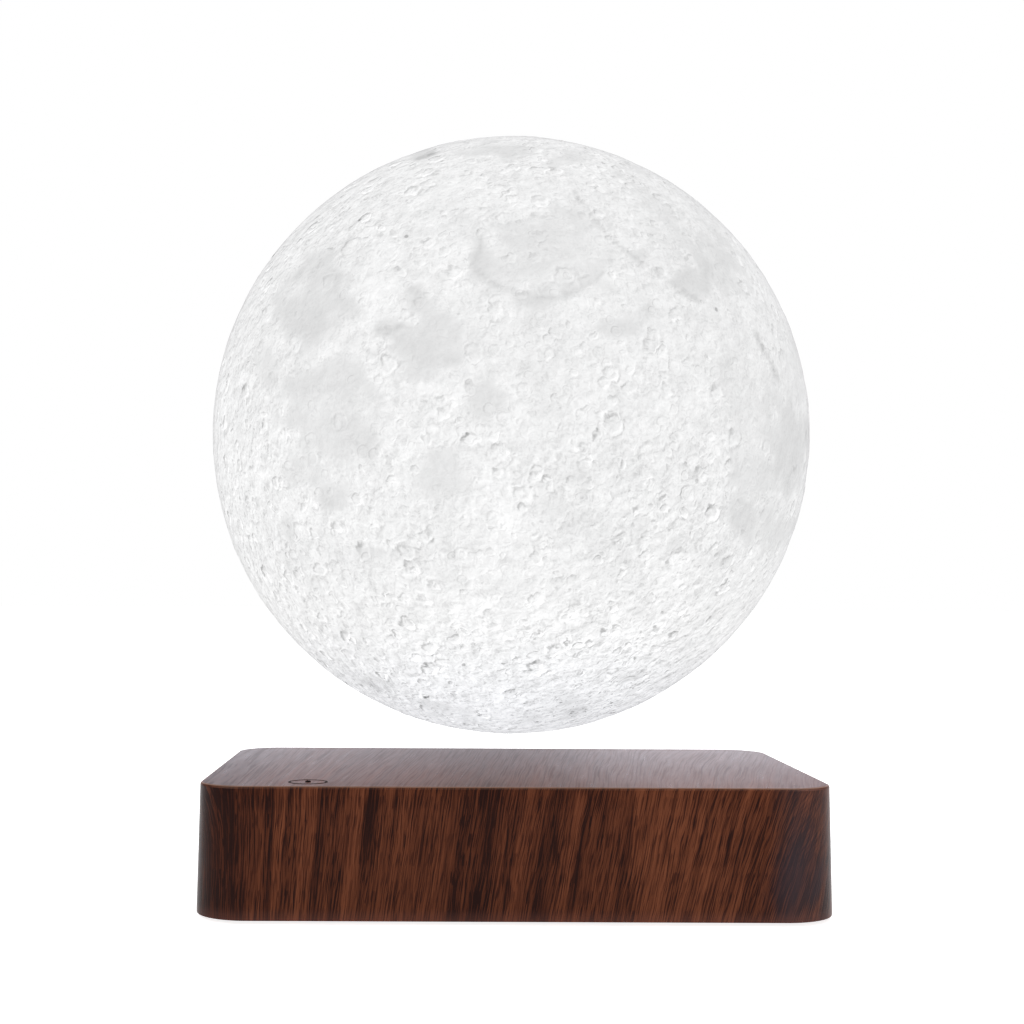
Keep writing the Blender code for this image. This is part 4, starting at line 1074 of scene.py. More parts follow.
    # the larger pits, with crisp walls: shaded on the upper left, bright floor
    light = (-0.70, 0.71, 0.0)
    for k in range(PIT_LAYERS):
        at = s.attribute("pit_%d" % k)
        look = s.split(s.attribute("look_%d" % k))
        at = s.vector('ADD', at, s.vector('SCALE', s.vector(
            'MULTIPLY', drift, (1.0, 1.0, 0.0)), scale=1.1))
        span = s.vector('LENGTH', at)
        side = s.math('DIVIDE', s.vector('DOT_PRODUCT', at, light),
                      s.math('MAXIMUM', span, 0.05))
        floor = s.step(span, 0.50, 0.98, 1.0, 0.0)
        wall = s.mul(s.step(span, 0.66, 0.90), s.step(span, 0.96, 1.16, 1.0, 0.0))
        crest = s.mul(s.step(span, 0.95, 1.10), s.step(span, 1.12, 1.40, 1.0, 0.0))
        shaded = s.step(side, -0.35, 0.75)
        lit = s.step(side, 0.25, -0.8)
        dark = s.mul(wall, shaded, look[0], -0.140)
        # painted light on each pit: its bright floor, and painted highlights and painted
        # shade on its wall and crest
        painted_light = s.add(s.mul(floor, look[1], 0.034), s.mul(crest, lit, -0.040),
                     s.mul(crest, shaded, 0.026), s.mul(wall, lit, 0.030))
        value = s.add(value, dark, painted_light)
        bowl = s.step(span, 0.30, 1.0, -1.0, 0.0)
        ring = s.mul(s.step(span, 0.82, 1.03), s.step(span, 1.05, 1.60, 1.0, 0.0))
        height = s.add(height, s.mul(s.add(bowl, s.mul(ring, 0.35)), look[2]))

    # painted reflection: a faint blue-grey tint near the globe's foot, in both its colour
    # and its glow
    painted_light = s.step(level, 0.046, 0.085, 1.0, 0.0)
    s.set("Base Color", s.tint(s.mix(painted_light, (0.995, 0.998, 1.0), (0.965, 0.975, 1.0)),
                               s.mul(value, 0.24)))
    s.set("Emission Color", s.mix(painted_light, (1.0, 1.0, 1.0), (0.955, 0.97, 1.0)))
    # painted light: the lamp's glow is made stronger or weaker by height, strongest at
    # the very foot beside the base and weakest a little above it
    stops = ((0.046, 1.04), (0.050, 1.000), (0.055, 0.950), (0.062, 0.880),
             (0.0685, 0.828), (0.0835, 0.764), (0.0985, 0.732), (0.113, 0.744),
             (0.128, 0.764), (0.150, 0.780), (0.170, 0.787), (0.190, 0.780),
             (0.205, 0.768), (0.226, 0.742))
    power = s.ramp(s.step(level, 0.046, 0.226, 0.0, 1.0, smooth=False),
                   [((z - 0.046) / 0.18, e / 1.1) for z, e in stops])
    s.set("Emission Strength", s.mul(value, s.split(power)[0], 1.1))
    s.set("Normal", s.bump(height, 0.001, 0.6))
    s.set("Coat Weight", 1.0)
    s.set("Coat IOR", 1.0005)
    s.set("Coat Roughness", 0.5)
    s.set("Coat Tint", (0.9875, 0.9875, 0.9875, 1.0))
    return s.mat


# ----------------------------------------------------------------- wood base
def side_at(z):
    t = (SHELL_TOP - z) / (SHELL_TOP - SHELL_LOW)
    return (BASE_W / 2 + DRAFT * t, BASE_D / 2 + DRAFT * t,
            BASE_R + (FOOT_R_CORNER - BASE_R) * t)


def outline(z, inset=0.0, steps=20):
    """Points round the housing at a height, with the length along the outline.

    The length is 0 at the middle of the front and grows to the right.
    """
    w, d, r = side_at(z)
    w, d, r = w - inset, d - inset, max(r - inset, 0.2)
    out = []
    quarter = math.pi / 2 * r
    # half a front, corner, side, corner, half a back: right half first
    spots = [(0.0, -d, 0.0)]
    spots.append((w - r, -d, w - r))
    for i in range(1, steps + 1):
        a = math.pi / 2 * i / steps
        spots.append((w - r + r * math.sin(a), -d + r - r * math.cos(a),
                      w - r + quarter * i / steps))
    start = w - r + quarter
    spots.append((w, d - r, start + 2 * (d - r)))
    for i in range(1, steps + 1):
        a = math.pi / 2 * i / steps
        spots.append((w - r + r * math.cos(a), d - r + r * math.sin(a),
                      start + 2 * (d - r) + quarter * i / steps))
    end = start + 2 * (d - r) + quarter
    spots.append((0.0, d, end + w - r))
    left = [(-x, y, -s) for x, y, s in spots[1:-1]][::-1]
    ring = spots + left          # ends just left of the front's middle
    pts = [(x, y, z) for x, y, s in ring]
    run = [s for x, y, s in ring]
    return pts, run


def shell_mesh():
    """Housing: fine skin, wall, ceiling, bosses, rear hole, touch grooves."""
    bm = bmesh.new()
    uv = bm.loops.layers.uv.new("grain")
    rings = []
    top_in = SHELL_TOP - WALL
    for z, inset in ((top_in, WALL), (SHELL_LOW + 0.3, WALL), (SHELL_LOW, WALL + 0.0),
                     (SHELL_LOW, FOOT_BEVEL), (SHELL_LOW + 0.06, 0.19),
                     (SHELL_LOW + 0.18, 0.06), (SHELL_LOW + FOOT_BEVEL, 0.0),
                     (10.0, 0.0), (20.0, 0.0), (30.0, 0.0)):
        rings.append(outline(z, inset))
    for k in range(8):
        a = math.radians(90.0 * k / 7)
        rings.append(outline(SHELL_TOP - TOP_BEVEL * (1 - math.sin(a)),
                             TOP_BEVEL * (1 - math.cos(a))))
    rings.append(outline(SHELL_TOP, TOP_BEVEL + 0.12))
    loops = [[bm.verts.new(p) for p in pts] for pts, run in rings]
    runs = [run for pts, run in rings]
    n = len(loops[0])
    half = n // 2
    outer_from = 6
    for k in range(len(loops) - 1):
        low, high = loops[k], loops[k + 1]
        for i in range(n):
            j = (i + 1) % n
            face = bm.faces.new((low[i], low[j], high[j], high[i]))
            for loop, (ring, m) in zip(face.loops, ((k, i), (k, j), (k + 1, j),
                                                    (k + 1, i))):
                s = runs[ring][m]
                # on the left half the length is negative; at the back's middle
                # and the front's middle both signs meet
                if i >= n // 2 - 1 + 1 and m == half:
                    s = -s
                z = loop.vert.co.z
                loop[uv].uv = (s / 100.0, z / 100.0)
    floor = bm.faces.new(loops[0])
    top = bm.faces.new(loops[-1])
    for face in (floor, top):
        for loop in face.loops:
            c = loop.vert.co
            loop[uv].uv = (c.x / 100.0, (SHELL_TOP + c.y + BASE_D / 2) / 100.0)
    # the rounding of the top edge takes the top's coordinates
    edge_from = 10
    for face in bm.faces:
        zs = [v.co.z for v in face.verts]
        if min(zs) > SHELL_TOP - TOP_BEVEL - 1e-4 and face is not top:
            for loop in face.loops:
                c = loop.vert.co
                loop[uv].uv = (c.x / 100.0,
                               (SHELL_TOP + c.y + BASE_D / 2) / 100.0)
    bmesh.ops.recalc_face_normals(bm, faces=bm.faces)
    mesh = bpy.data.meshes.new("housing")
    bm.to_mesh(mesh)
    bm.free()
    shell = loose("housing", mesh)

    bm = bmesh.new()
    for sx, sy in ((1, 1), (-1, 1), (-1, -1), (1, -1)):
        turned(bm, [(0.0, 20.0), (1.7, 20.0), (1.7, 4.7), (4.0, 4.7),
                    (4.5, SHELL_TOP - WALL + 1.0), (0.0, SHELL_TOP - WALL + 1.0)],
               32, (sx * BOSS[0], sy * BOSS[1]))
    bmesh.ops.recalc_face_normals(bm, faces=bm.faces)
    tool = bpy.data.meshes.new("bosses")
    bm.to_mesh(tool)
    bm.free()
    combine(shell, loose("bosses", tool), 'UNION')

    bm = bmesh.new()
    skin(bm, [[(4.5 * math.cos(2 * math.pi * i / 64), y,
                14.4 + 4.5 * math.sin(2 * math.pi * i / 64))
               for i in range(64)] for y in (BASE_D / 2 - WALL - 2.0,
                                             BASE_D / 2 + 4.0)])
    bmesh.ops.recalc_face_normals(bm, faces=bm.faces)
    tool = bpy.data.meshes.new("rear_hole")
    bm.to_mesh(tool)
    bm.free()
    combine(shell, loose("rear_hole", tool), 'DIFFERENCE')

    bm = bmesh.new()
    deep = SHELL_TOP - TOUCH_DEPTH
    gap = 0.06
    turned(bm, [(TOUCH_R - TOUCH_LINE - gap, deep), (TOUCH_R + gap, deep),
                (TOUCH_R + gap, SHELL_TOP + 1.0),
                (TOUCH_R - TOUCH_LINE - gap, SHELL_TOP + 1.0)], 96, TOUCH,
           closed=True)
    turned(bm, [(0.0, deep), (TOUCH_DOT + gap, deep),
                (TOUCH_DOT + gap, SHELL_TOP + 1.0), (0.0, SHELL_TOP + 1.0)], 40,
           TOUCH)
    bmesh.ops.recalc_face_normals(bm, faces=bm.faces)
    tool = bpy.data.meshes.new("touch_grooves")
    bm.to_mesh(tool)
    bm.free()
    combine(shell, loose("touch_grooves", tool), 'DIFFERENCE')
    mesh = settle(shell)
    bpy.data.objects.remove(shell, do_unlink=True)
    mesh.transform(Matrix.Scale(MM, 4))
    mesh.shade_smooth()
    mesh.set_sharp_from_angle(angle=math.radians(32.0))
    return mesh


# Tone of the wood across the front at half height: place along the front in
# mm, and tone from 0, near black, to 1, orange brown.
STRIPES = [
    (-95, 0.10), (-88, 0.14), (-86.6, 0.30), (-85.6, 0.10), (-84.4, 0.32),
    (-83.4, 0.12), (-82.2, 0.26), (-81.2, 0.06), (-80.0, 0.20), (-78.9, 0.04),
    (-77.6, 0.10), (-76.6, 0.42), (-75.7, 0.16), (-74.8, 0.46), (-73.9, 0.20),
    (-72.9, 0.56), (-72.2, 0.12), (-71.0, 0.02), (-69.9, 0.08), (-69.2, 0.74),
    (-67.4, 0.80),
    (-66.4, 0.60), (-65.7, 0.26), (-64.6, 0.36), (-63.2, 0.66), (-61.5, 0.80),
    (-60.6, 0.56), (-59.6, 0.74), (-58.1, 0.72), (-57.4, 0.08), (-56.3, 0.12),
    (-55.0, 0.42), (-52.6, 0.28), (-50.6, 0.40), (-48.9, 0.44), (-48.1, 0.72),
    (-45.0, 0.74), (-44.2, 0.34), (-42.5, 0.18), (-40.4, 0.26), (-39.4, 0.56),
    (-33.0, 0.54), (-26.0, 0.50), (-20.0, 0.52), (-17.2, 0.44), (-16.4, 0.10),
    (-14.9, 0.06), (-14.0, 0.34), (-12.2, 0.36), (-11.3, 0.06), (-7.2, 0.03),
    (-6.0, 0.30), (-3.6, 0.44), (-2.0, 0.30), (0.0, 0.26), (0.9, 0.74),
    (3.2, 0.70), (4.1, 0.36), (6.4, 0.34), (7.8, 0.08), (11.0, 0.06),
    (12.2, 0.36), (14.6, 0.40), (15.6, 0.80), (17.6, 0.74), (18.3, 0.04),
    (19.6, 0.06), (20.6, 0.46), (24.0, 0.38), (26.6, 0.52), (29.0, 0.34),
    (31.0, 0.44), (31.8, 0.12), (33.0, 0.40), (35.6, 0.58), (38.0, 0.66),
    (43.0, 0.76), (47.4, 0.72), (48.2, 0.16), (49.0, 0.66), (51.6, 0.70),
    (52.6, 0.34), (54.2, 0.22), (55.4, 0.62), (57.2, 0.66), (58.1, 0.26),
    (59.2, 0.64), (60.6, 0.30), (61.8, 0.60), (63.2, 0.72), (64.1, 0.18),
    (65.2, 0.62), (66.9, 0.74), (67.9, 0.70), (68.7, 0.14), (69.8, 0.34),
    (73.0, 0.42), (78.0, 0.46), (84.0, 0.44), (95, 0.40),
]


def placed_stripes():
    """Stripes with their places turned into lengths along the outline."""
    pts, run = outline((SHELL_LOW + SHELL_TOP) / 2)
    seen = seen_at(np.array(pts))[:, 0]
    front = sorted((r, x) for r, x, p in zip(run, seen, pts)
                   if abs(r) < 93.0 and p[1] < 0)
    lengths = np.array([r for r, x in front])
    xs = np.maximum.accumulate(np.array([x for r, x in front]))
    out = []
    for at, tone in STRIPES:
        if abs(at) > 84.0:
            edge = math.copysign(84.0, at)
            place = np.interp(513.8 + 3.475 * edge, xs, lengths) + at - edge
        else:
            place = np.interp(513.8 + 3.475 * at, xs, lengths)
        out.append((float(place), tone))
    return out


def stripe_tone(s, where):
    """The stripes as colour ramps, each good for a part of the width."""
    total = None
    chunk = 22
    stripes = placed_stripes()
    for first in range(0, len(stripes) - 1, chunk):
        part = stripes[first:first + chunk + 1]
        low, high = part[0][0], part[-1][0]
        fac = s.step(where, low, high, 0.0, 1.0, smooth=False)
        value = s.ramp(fac, [((x - low) / (high - low), t) for x, t in part])
        value = s.split(value)[0]
        inside = s.mul(s.math('GREATER_THAN', where, low),
                       s.math('LESS_THAN', where, high + 1e-6))
        value = s.mul(value, inside)
        total = value if total is None else s.add(total, value)
    return total


def wood_material():
    s = Shade("wood_effect", roughness=0.30, specular=0.036)
    grain = s.split(s.vector('SCALE', s.uv("grain"), scale=100.0))
    x, v = grain[0], grain[1]
    # the figure is drawn out on the top face
    u = s.math('MINIMUM', v, s.add(s.mul(v, 0.30), 0.70 * SHELL_TOP))
    rise = s.math('SUBTRACT', v, 18.6)
    rise = s.math('MINIMUM', rise, s.add(s.mul(rise, 0.6), 7.2))

    # the grain leans more and more towards the right, and bends away at the left
    lean = s.ramp(s.step(x, -90.0, 90.0, 0.0, 1.0, smooth=False), [
        (0.0, 0.0), (0.12, 0.02), (0.27, 0.12), (0.50, 0.16), (0.75, 0.22),
        (0.88, 0.33), (1.0, 0.38)])
    bend = s.mul(s.step(x, -90.0, -72.0, -0.40, 0.0), s.step(rise, -16.0, 18.0))
    wave = s.noise(s.join(s.mul(x, 0.030), s.mul(u, 0.018), 3.0), 1.0, 2.0, 0.5)
    wave2 = s.noise(s.join(s.mul(x, 0.16), s.mul(u, 0.040), 9.0), 1.0, 2.0, 0.5)
    wave3 = s.noise(s.join(s.mul(x, 0.60), s.mul(u, 0.090), 2.5), 1.0, 2.0, 0.5)
    # round the corners it stands upright again
    round_side = s.step(s.math('ABSOLUTE', x), 94.0, 128.0, 1.0, 0.10)
    bent = s.mul(bend, s.math('MINIMUM', rise, 19.0))
    along = s.math('SUBTRACT', x, s.mul(s.add(s.mul(lean, rise), bent), round_side))
    along = s.add(along, s.mul(s.math('SUBTRACT', wave, 0.5), 2.2),
                  s.mul(s.math('SUBTRACT', wave2, 0.5), 1.5),
                  s.mul(s.math('SUBTRACT', wave3, 0.5), 0.4))
    band = stripe_tone(s, along)
    # past the front's width the stripes go on as noise
    far = s.math('GREATER_THAN', s.math('ABSOLUTE', along), 93.0)
    other = s.noise(s.join(s.mul(along, 0.42), s.mul(u, 0.010), 5.0), 1.0, 3.0, 0.65)
    other = s.step(other, 0.34, 0.64, 0.10, 0.75, smooth=False)
    band = s.add(s.mul(band, s.math('SUBTRACT', 1.0, far)), s.mul(other, far))
    # each stripe grows and fades along its length
    fade = s.noise(s.join(s.mul(along, 0.35), s.mul(u, 0.055), 15.0), 1.0, 2.0, 0.5)
    fade = s.step(fade, 0.32, 0.66, 0.45, 0.96)
    calm = s.step(v, 36.2, 38.0, 1.0, 0.41)
    still = s.step(v, 36.2, 38.0, 1.0, 0.26)
    tone = s.add(0.50, s.mul(s.math('SUBTRACT', band, 0.45), fade, calm, 0.62))
    # darker past the left corner's start, paler over the right part of the front
    tone = s.add(tone, s.step(x, -82.0, -68.0, -0.20, 0.0),
                 s.mul(s.step(x, 28.0, 34.0), s.step(x, 54.0, 60.0, 1.0, 0.0), 0.065),
                 s.mul(s.step(x, -21.0, -17.0), s.step(x, -8.0, -4.0, 1.0, 0.0), -0.06))

    # finer lines inside the stripes
    line1 = s.noise(s.join(s.mul(along, 0.70), s.mul(u, 0.022), 1.0), 1.0, 2.0, 0.6)
    line2 = s.noise(s.join(s.mul(along, 2.4), s.mul(u, 0.050), 2.0), 1.0, 2.0, 0.6)
    tone = s.add(tone, s.mul(s.math('SUBTRACT', line1, 0.5), 0.42, calm),
                 s.mul(s.math('SUBTRACT', line2, 0.5), 0.42, still))

    # long unbroken hairlines that run with the grain
    def hairs(across, length, seed, width):
        n = s.noise(s.join(s.mul(along, across), s.mul(u, length), seed), 1.0, 0.0)
        n = s.math('ABSOLUTE', s.math('SUBTRACT', n, 0.5))
        shown = s.noise(s.join(s.mul(along, 0.45), s.mul(u, 0.035), seed + 4.0),
                        1.0, 1.0, 0.5)
        return s.mul(s.step(n, 0.0, width, 1.0, 0.0), s.step(shown, 0.40, 0.58, 0.1, 1.0))

    dark_hair = s.math('MAXIMUM', hairs(0.75, 0.016, 21.0, 0.055),
                       s.mul(hairs(1.35, 0.026, 31.0, 0.085), 0.7))
    pale_hair = hairs(0.70, 0.014, 41.0, 0.060)
    tone = s.add(tone, s.mul(dark_hair, still, -0.30), s.mul(pale_hair, still, 0.17))

    # long thin dark pores along the grain, in drifts, denser in the dark bands
    drift = s.noise(s.join(s.mul(along, 0.20), s.mul(u, 0.030), 4.0), 1.0, 2.0, 0.5)
    drift = s.add(s.step(drift, 0.34, 0.58, 0.62, 1.0), s.mul(band, -0.20))
    pore = s.noise(s.join(s.mul(along, 2.5), s.mul(u, 0.072), 7.0), 1.0, 0.4, 0.5)
    pore = s.mul(s.step(pore, 0.540, 0.60), drift)
    pore2 = s.noise(s.join(s.mul(along, 3.3), s.mul(u, 0.20), 8.0), 1.0, 0.4, 0.5)
    pore2 = s.mul(s.step(pore2, 0.550, 0.61), drift)

    # two dark patches and slanting hatching at the right of the front
    def patch(cx, cv, rx, rv, slant):
        dx = s.math('SUBTRACT', s.math('SUBTRACT', x, cx),
                    s.mul(s.math('SUBTRACT', v, cv), slant))
        dv = s.math('SUBTRACT', v, cv)
        span = s.math('SQRT', s.add(s.math('POWER', s.mul(dx, 1 / rx), 2.0),
                                    s.math('POWER', s.mul(dv, 1 / rv), 2.0)))
        rough = s.add(s.mul(s.math('SUBTRACT', wave2, 0.5), 1.2),
                      s.mul(s.math('SUBTRACT', line2, 0.5), 0.5))
        return s.step(s.add(span, rough), 0.25, 1.30, 1.0, 0.0)

    smudge = s.math('MAXIMUM', patch(73.5, 14.0, 6.0, 15.0, 0.24),
                    s.mul(patch(81.5, 12.0, 3.0, 8.0, 0.42), 0.8))
    knot = patch(-39.5, 27.0, 2.2, 11.0, 0.12)
    tone = s.math('SUBTRACT', tone, s.add(s.mul(smudge, 0.27), s.mul(knot, 0.26)))
    corner = s.mul(s.step(x, 70.0, 77.0), s.step(v, 12.0, 22.0),
                   s.step(x, 100.0, 110.0, 1.0, 0.0), s.step(v, 40.0, 36.6))
    hatch = s.noise(s.join(s.mul(s.math('SUBTRACT', x, s.mul(v, 0.95)), 1.5),
                           s.mul(s.add(v, x), 0.10), 6.0), 1.0, 2.0, 0.6)
    tone = s.add(tone, s.mul(corner, s.math('SUBTRACT', hatch, 0.5), 1.25))

    tone = s.add(tone, 0.09, s.mul(pore, still, -0.36), s.mul(pore2, still, -0.34))
    colour = s.ramp(tone, [
        (0.00, (0.0175, 0.0062, 0.0050)), (0.18, (0.0275, 0.0082, 0.0054)),
        (0.40, (0.0610, 0.0174, 0.0088)), (0.62, (0.1010, 0.0298, 0.0140)),
        (0.80, (0.1360, 0.0416, 0.0196)), (1.00, (0.1760, 0.0565, 0.0262))])
    colour = s.mix(s.mul(smudge, 0.36), colour, (0.034, 0.027, 0.037))
    # painted reflection: a grey-mauve sheen painted over the right corner of the front
    painted_corner_sheen = s.mul(s.step(x, 66.0, 76.0), s.step(x, 90.0, 96.0, 1.0, 0.0))
    colour = s.mix(s.mul(painted_corner_sheen, 0.22), colour, (0.085, 0.066, 0.072))
    # the rounded top edge is painted paler, a painted highlight along it
    high = s.split(s.coord("Object"))[2]
    edge = s.mul(s.step(high, (SHELL_TOP - 0.30) * MM, (SHELL_TOP - 0.15) * MM),
                 s.step(high, (SHELL_TOP - 0.003) * MM, (SHELL_TOP - 0.02) * MM))
    # painted light: the near part of the top is painted lighter and browner than the far
    # part, and is given less shine
    on_top = s.step(v, 36.3, 37.0)
    depth = s.step(v, 42.0, 142.0, smooth=False)
    painted_top_light = s.add(1.0, s.mul(on_top, s.step(v, 38.0, 142.0, 0.38, -0.26)))
    colour = s.tint(colour, painted_top_light)
    # painted highlight: a paler strip painted along the front of the top
    colour = s.mix(s.mul(s.step(v, 36.8, 43.0, 1.0, 0.0), on_top, 0.16), colour,
                   (0.300, 0.185, 0.140))
    colour = s.mix(s.mul(edge, 0.74), colour, (0.320, 0.182, 0.128))
    # and the lower rim of the sides painted a little paler and greyer, a painted
    # reflection of the floor
    colour = s.mix(s.step(v, 0.8, 5.0, 0.155, 0.0), colour, (0.255, 0.110, 0.090))
    s.set("Base Color", colour)
    top_shine = s.mul(s.math('POWER', 7.5, depth), 0.016)
    s.set("Specular IOR Level", s.add(
        s.mul(s.math('SUBTRACT', 1.0, on_top), 0.036), s.mul(on_top, top_shine)))

    fine = s.noise(s.join(s.mul(along, 1.0), s.mul(u, 0.12), 12.0), 1.0, 3.0, 0.6)
    s.set("Roughness", s.step(s.add(fine, s.mul(pore, 0.3)), 0.3, 0.9, 0.27, 0.35,
                              smooth=False))
    height = s.add(s.mul(pore, -0.35), s.mul(pore2, -0.3), s.mul(line2, 0.12),
                   s.mul(fine, 0.10))
    flat = s.step(v, 35.4, 36.8, 1.0, 0.02)
    s.set("Normal", s.bump(s.mul(height, flat), 0.00005, 0.6))
    return s.mat


# ------------------------------------------------- small finishes for the rest
def plastic(name, colour, roughness=0.5, grain=2600.0, depth=0.00003, vary=0.25):
    """Moulded plastic with a fine spark-eroded texture."""
    s = Shade(name, colour, roughness)
    p = s.coord("Object")
    n = s.noise(p, grain, 3.0, 0.6)
    slow = s.noise(p, 60.0, 3.0, 0.5)
    shade = s.add(1.0, s.mul(s.math('SUBTRACT', slow, 0.5), vary),
                  s.mul(s.math('SUBTRACT', n, 0.5), vary))
    s.set("Base Color", s.tint(colour, shade))
    s.set("Roughness", s.step(slow, 0.3, 0.7, roughness - 0.06, roughness + 0.08,
                              smooth=False))
    s.set("Normal", s.bump(n, depth, 0.6))
    return s.mat


def ink(name, low=(0.006, 0.005, 0.005), high=(0.016, 0.012, 0.011)):
    """Dull dark lacquer that takes no shine."""
    s = Shade(name, (0.010, 0.008, 0.008), 0.95, specular=0.02)
    p = s.coord("Object")
    n = s.noise(p, 4000.0, 3.0, 0.7)
    s.set("Base Color", s.mix(n, low, high))
    s.set("Normal", s.bump(n, 0.00001, 0.5))
    return s.mat


def metal(name, colour, roughness=0.3, scratch=True, vary=0.12):
    s = Shade(name, colour, roughness, metallic=1.0)
    p = s.coord("Object")
    slow = s.noise(p, 150.0, 3.0, 0.6)
    lines = s.noise(s.vector('MULTIPLY', p, (300.0, 300.0, 9000.0)), 1.0, 2.0, 0.6)
    shade = s.add(1.0, s.mul(s.math('SUBTRACT', slow, 0.5), vary))
    s.set("Base Color", s.tint(colour, shade))
    s.set("Roughness", s.step(s.add(slow, s.mul(lines, 0.5)), 0.4, 1.1,
                              roughness - 0.08, roughness + 0.12, smooth=False))
    if scratch:
        s.set("Normal", s.bump(lines, 0.00001, 0.5))
    return s.mat


def rubber(name):
    s = Shade(name, (0.022, 0.022, 0.023), 0.85, specular=0.35)
    p = s.coord("Object")
    n = s.noise(p, 1800.0, 4.0, 0.7)
    dust = s.step(s.noise(p, 240.0, 4.0, 0.7), 0.5, 0.8)
    s.set("Base Color", s.mix(s.mul(dust, 0.35), (0.020, 0.020, 0.021),
                              (0.060, 0.058, 0.055)))
    s.set("Normal", s.bump(n, 0.00006, 0.7))
    return s.mat


def board_material(name, colour, copper):
    """Solder mask over faint tracks, with rows of tinned pads."""
    s = Shade(name, colour, 0.35)
    p = s.coord("Object")
    bricks = s.node("ShaderNodeTexBrick", offset=0.5)
    s.put(bricks.inputs["Vector"], p)
    s.put(bricks.inputs["Scale"], 90.0)
    s.put(bricks.inputs["Mortar Size"], 0.02)
    s.put(bricks.inputs["Color1"], (1.0, 1.0, 1.0))
    s.put(bricks.inputs["Color2"], (0.75, 0.75, 0.75))
    s.put(bricks.inputs["Mortar"], (0.25, 0.25, 0.25))
    cells = s.voronoi(p, 260.0, 'DISTANCE_TO_EDGE', 0.25)
    track = s.step(cells["Distance"], 0.03, 0.06, 1.0, 0.0)
    dots = s.voronoi(p, 330.0, 'F1', 0.35)
    pad = s.mul(s.step(dots["Distance"], 0.16, 0.19, 1.0, 0.0),
                s.math('GREATER_THAN', s.noise(p, 90.0, 1.0), 0.56))
    mask = s.mix(s.mul(track, 0.5), colour, tuple(min(1.0, c * 1.9) for c in colour))
    mask = s.mix(0.35, mask, bricks.outputs[0], 'MULTIPLY')
    s.set("Base Color", s.mix(pad, mask, copper))
    s.set("Metallic", s.mul(pad, 0.9))
    s.set("Roughness", s.step(s.noise(p, 500.0, 2.0), 0.3, 0.7, 0.28, 0.42))
    s.set("Normal", s.bump(s.add(track, s.mul(pad, 1.5)), 0.00004, 0.6))
    return s.mat


def winding(name, axis, pitch, flat=False):
    """Enamelled wire: turns side by side, along the axis or outwards."""
    s = Shade(name, (0.72, 0.30, 0.13), 0.30, metallic=1.0)
    p = s.coord("Object")
    parts = s.split(p)
    if flat:
        where = s.math('SQRT', s.add(s.math('POWER', parts[0], 2.0),
                                     s.math('POWER', parts[1], 2.0)))
    else:
        where = parts[2]
    turn = s.mul(where, 2 * math.pi / pitch)
    wave = s.math('SINE', turn)
    groove = s.step(wave, -1.0, -0.2)
    slow = s.noise(p, 220.0, 3.0, 0.6)
    wire = s.mix(slow, (0.66, 0.235, 0.085), (0.83, 0.40, 0.19))
    s.set("Base Color", s.mix(groove, (0.16, 0.040, 0.015), wire))
    s.set("Roughness", s.step(slow, 0.3, 0.7, 0.22, 0.38, smooth=False))
    s.set("Normal", s.bump(wave, pitch * 0.22, 0.8))
    return s.mat


def chip_material(name):
    s = Shade(name, (0.020, 0.020, 0.022), 0.5)
    p = s.coord("Object")
    n = s.noise(p, 3500.0, 3.0, 0.7)
    slow = s.noise(p, 300.0, 2.0)
    s.set("Base Color", s.mix(slow, (0.016, 0.016, 0.018), (0.030, 0.030, 0.032)))
    s.set("Roughness", s.step(n, 0.3, 0.7, 0.42, 0.60))
    s.set("Normal", s.bump(n, 0.00002, 0.7))
    return s.mat


def sleeve_material(name):
    """Capacitor: dark sleeve with a pale polarity stripe, bare metal top."""
    s = Shade(name, (0.03, 0.04, 0.08), 0.35)
    p = s.coord("Object")
    parts = s.split(p)
    top = s.step(parts[2], 0.0203, 0.0205)
    n = s.noise(p, 400.0, 3.0)
    sleeve = s.mix(n, (0.022, 0.030, 0.062), (0.045, 0.055, 0.100))
    s.set("Base Color", s.mix(top, sleeve, (0.60, 0.60, 0.61)))
    s.set("Metallic", s.mul(top, 0.9))
    s.set("Roughness", s.step(n, 0.3, 0.7, 0.28, 0.42))
    s.set("Normal", s.bump(n, 0.00004, 0.4))
    return s.mat


def ferrite_material(name):
    s = Shade(name, (0.075, 0.075, 0.078), 0.6)
    p = s.coord("Object")
    n = s.noise(p, 900.0, 4.0, 0.7)
    spots = s.voronoi(p, 1200.0)
    pit = s.step(spots["Distance"], 0.10, 0.25, 1.0, 0.0)
    s.set("Base Color", s.mix(s.mul(pit, 0.6), s.mix(n, (0.060, 0.060, 0.064),
                                                   (0.100, 0.100, 0.104)),
                              (0.020, 0.020, 0.022)))
    s.set("Normal", s.bump(s.math('SUBTRACT', n, pit), 0.00004, 0.6))
    return s.mat


def phosphor(name):
    s = Shade(name, (0.86, 0.74, 0.34), 0.4)
    p = s.coord("Object")
    n = s.noise(p, 1500.0, 3.0, 0.6)
    s.set("Base Color", s.mix(n, (0.80, 0.68, 0.30), (0.92, 0.84, 0.48)))
    s.set("Emission Color", (1.0, 0.95, 0.86, 1.0))
    s.set("Emission Strength", 0.6)
    s.set("Normal", s.bump(n, 0.00003, 0.5))
    return s.mat


# ----------------------------------------------------------- smaller geometry
def touch_ring_mesh():
    low, high = SHELL_TOP - 0.5, SHELL_TOP + RING_PROUD
    mid = TOUCH_R - TOUCH_LINE / 2
    profile = [(TOUCH_R - TOUCH_LINE, low), (TOUCH_R, low)]
    for k in range(9):
        a = math.pi * k / 8
        profile.append((mid + TOUCH_LINE / 2 * math.cos(a),
                        high - 0.09 + 0.09 * math.sin(a)))
    bm = bmesh.new()
    turned(bm, profile, 96, TOUCH, closed=True)
    return mesh_from(bm, "touch_ring")


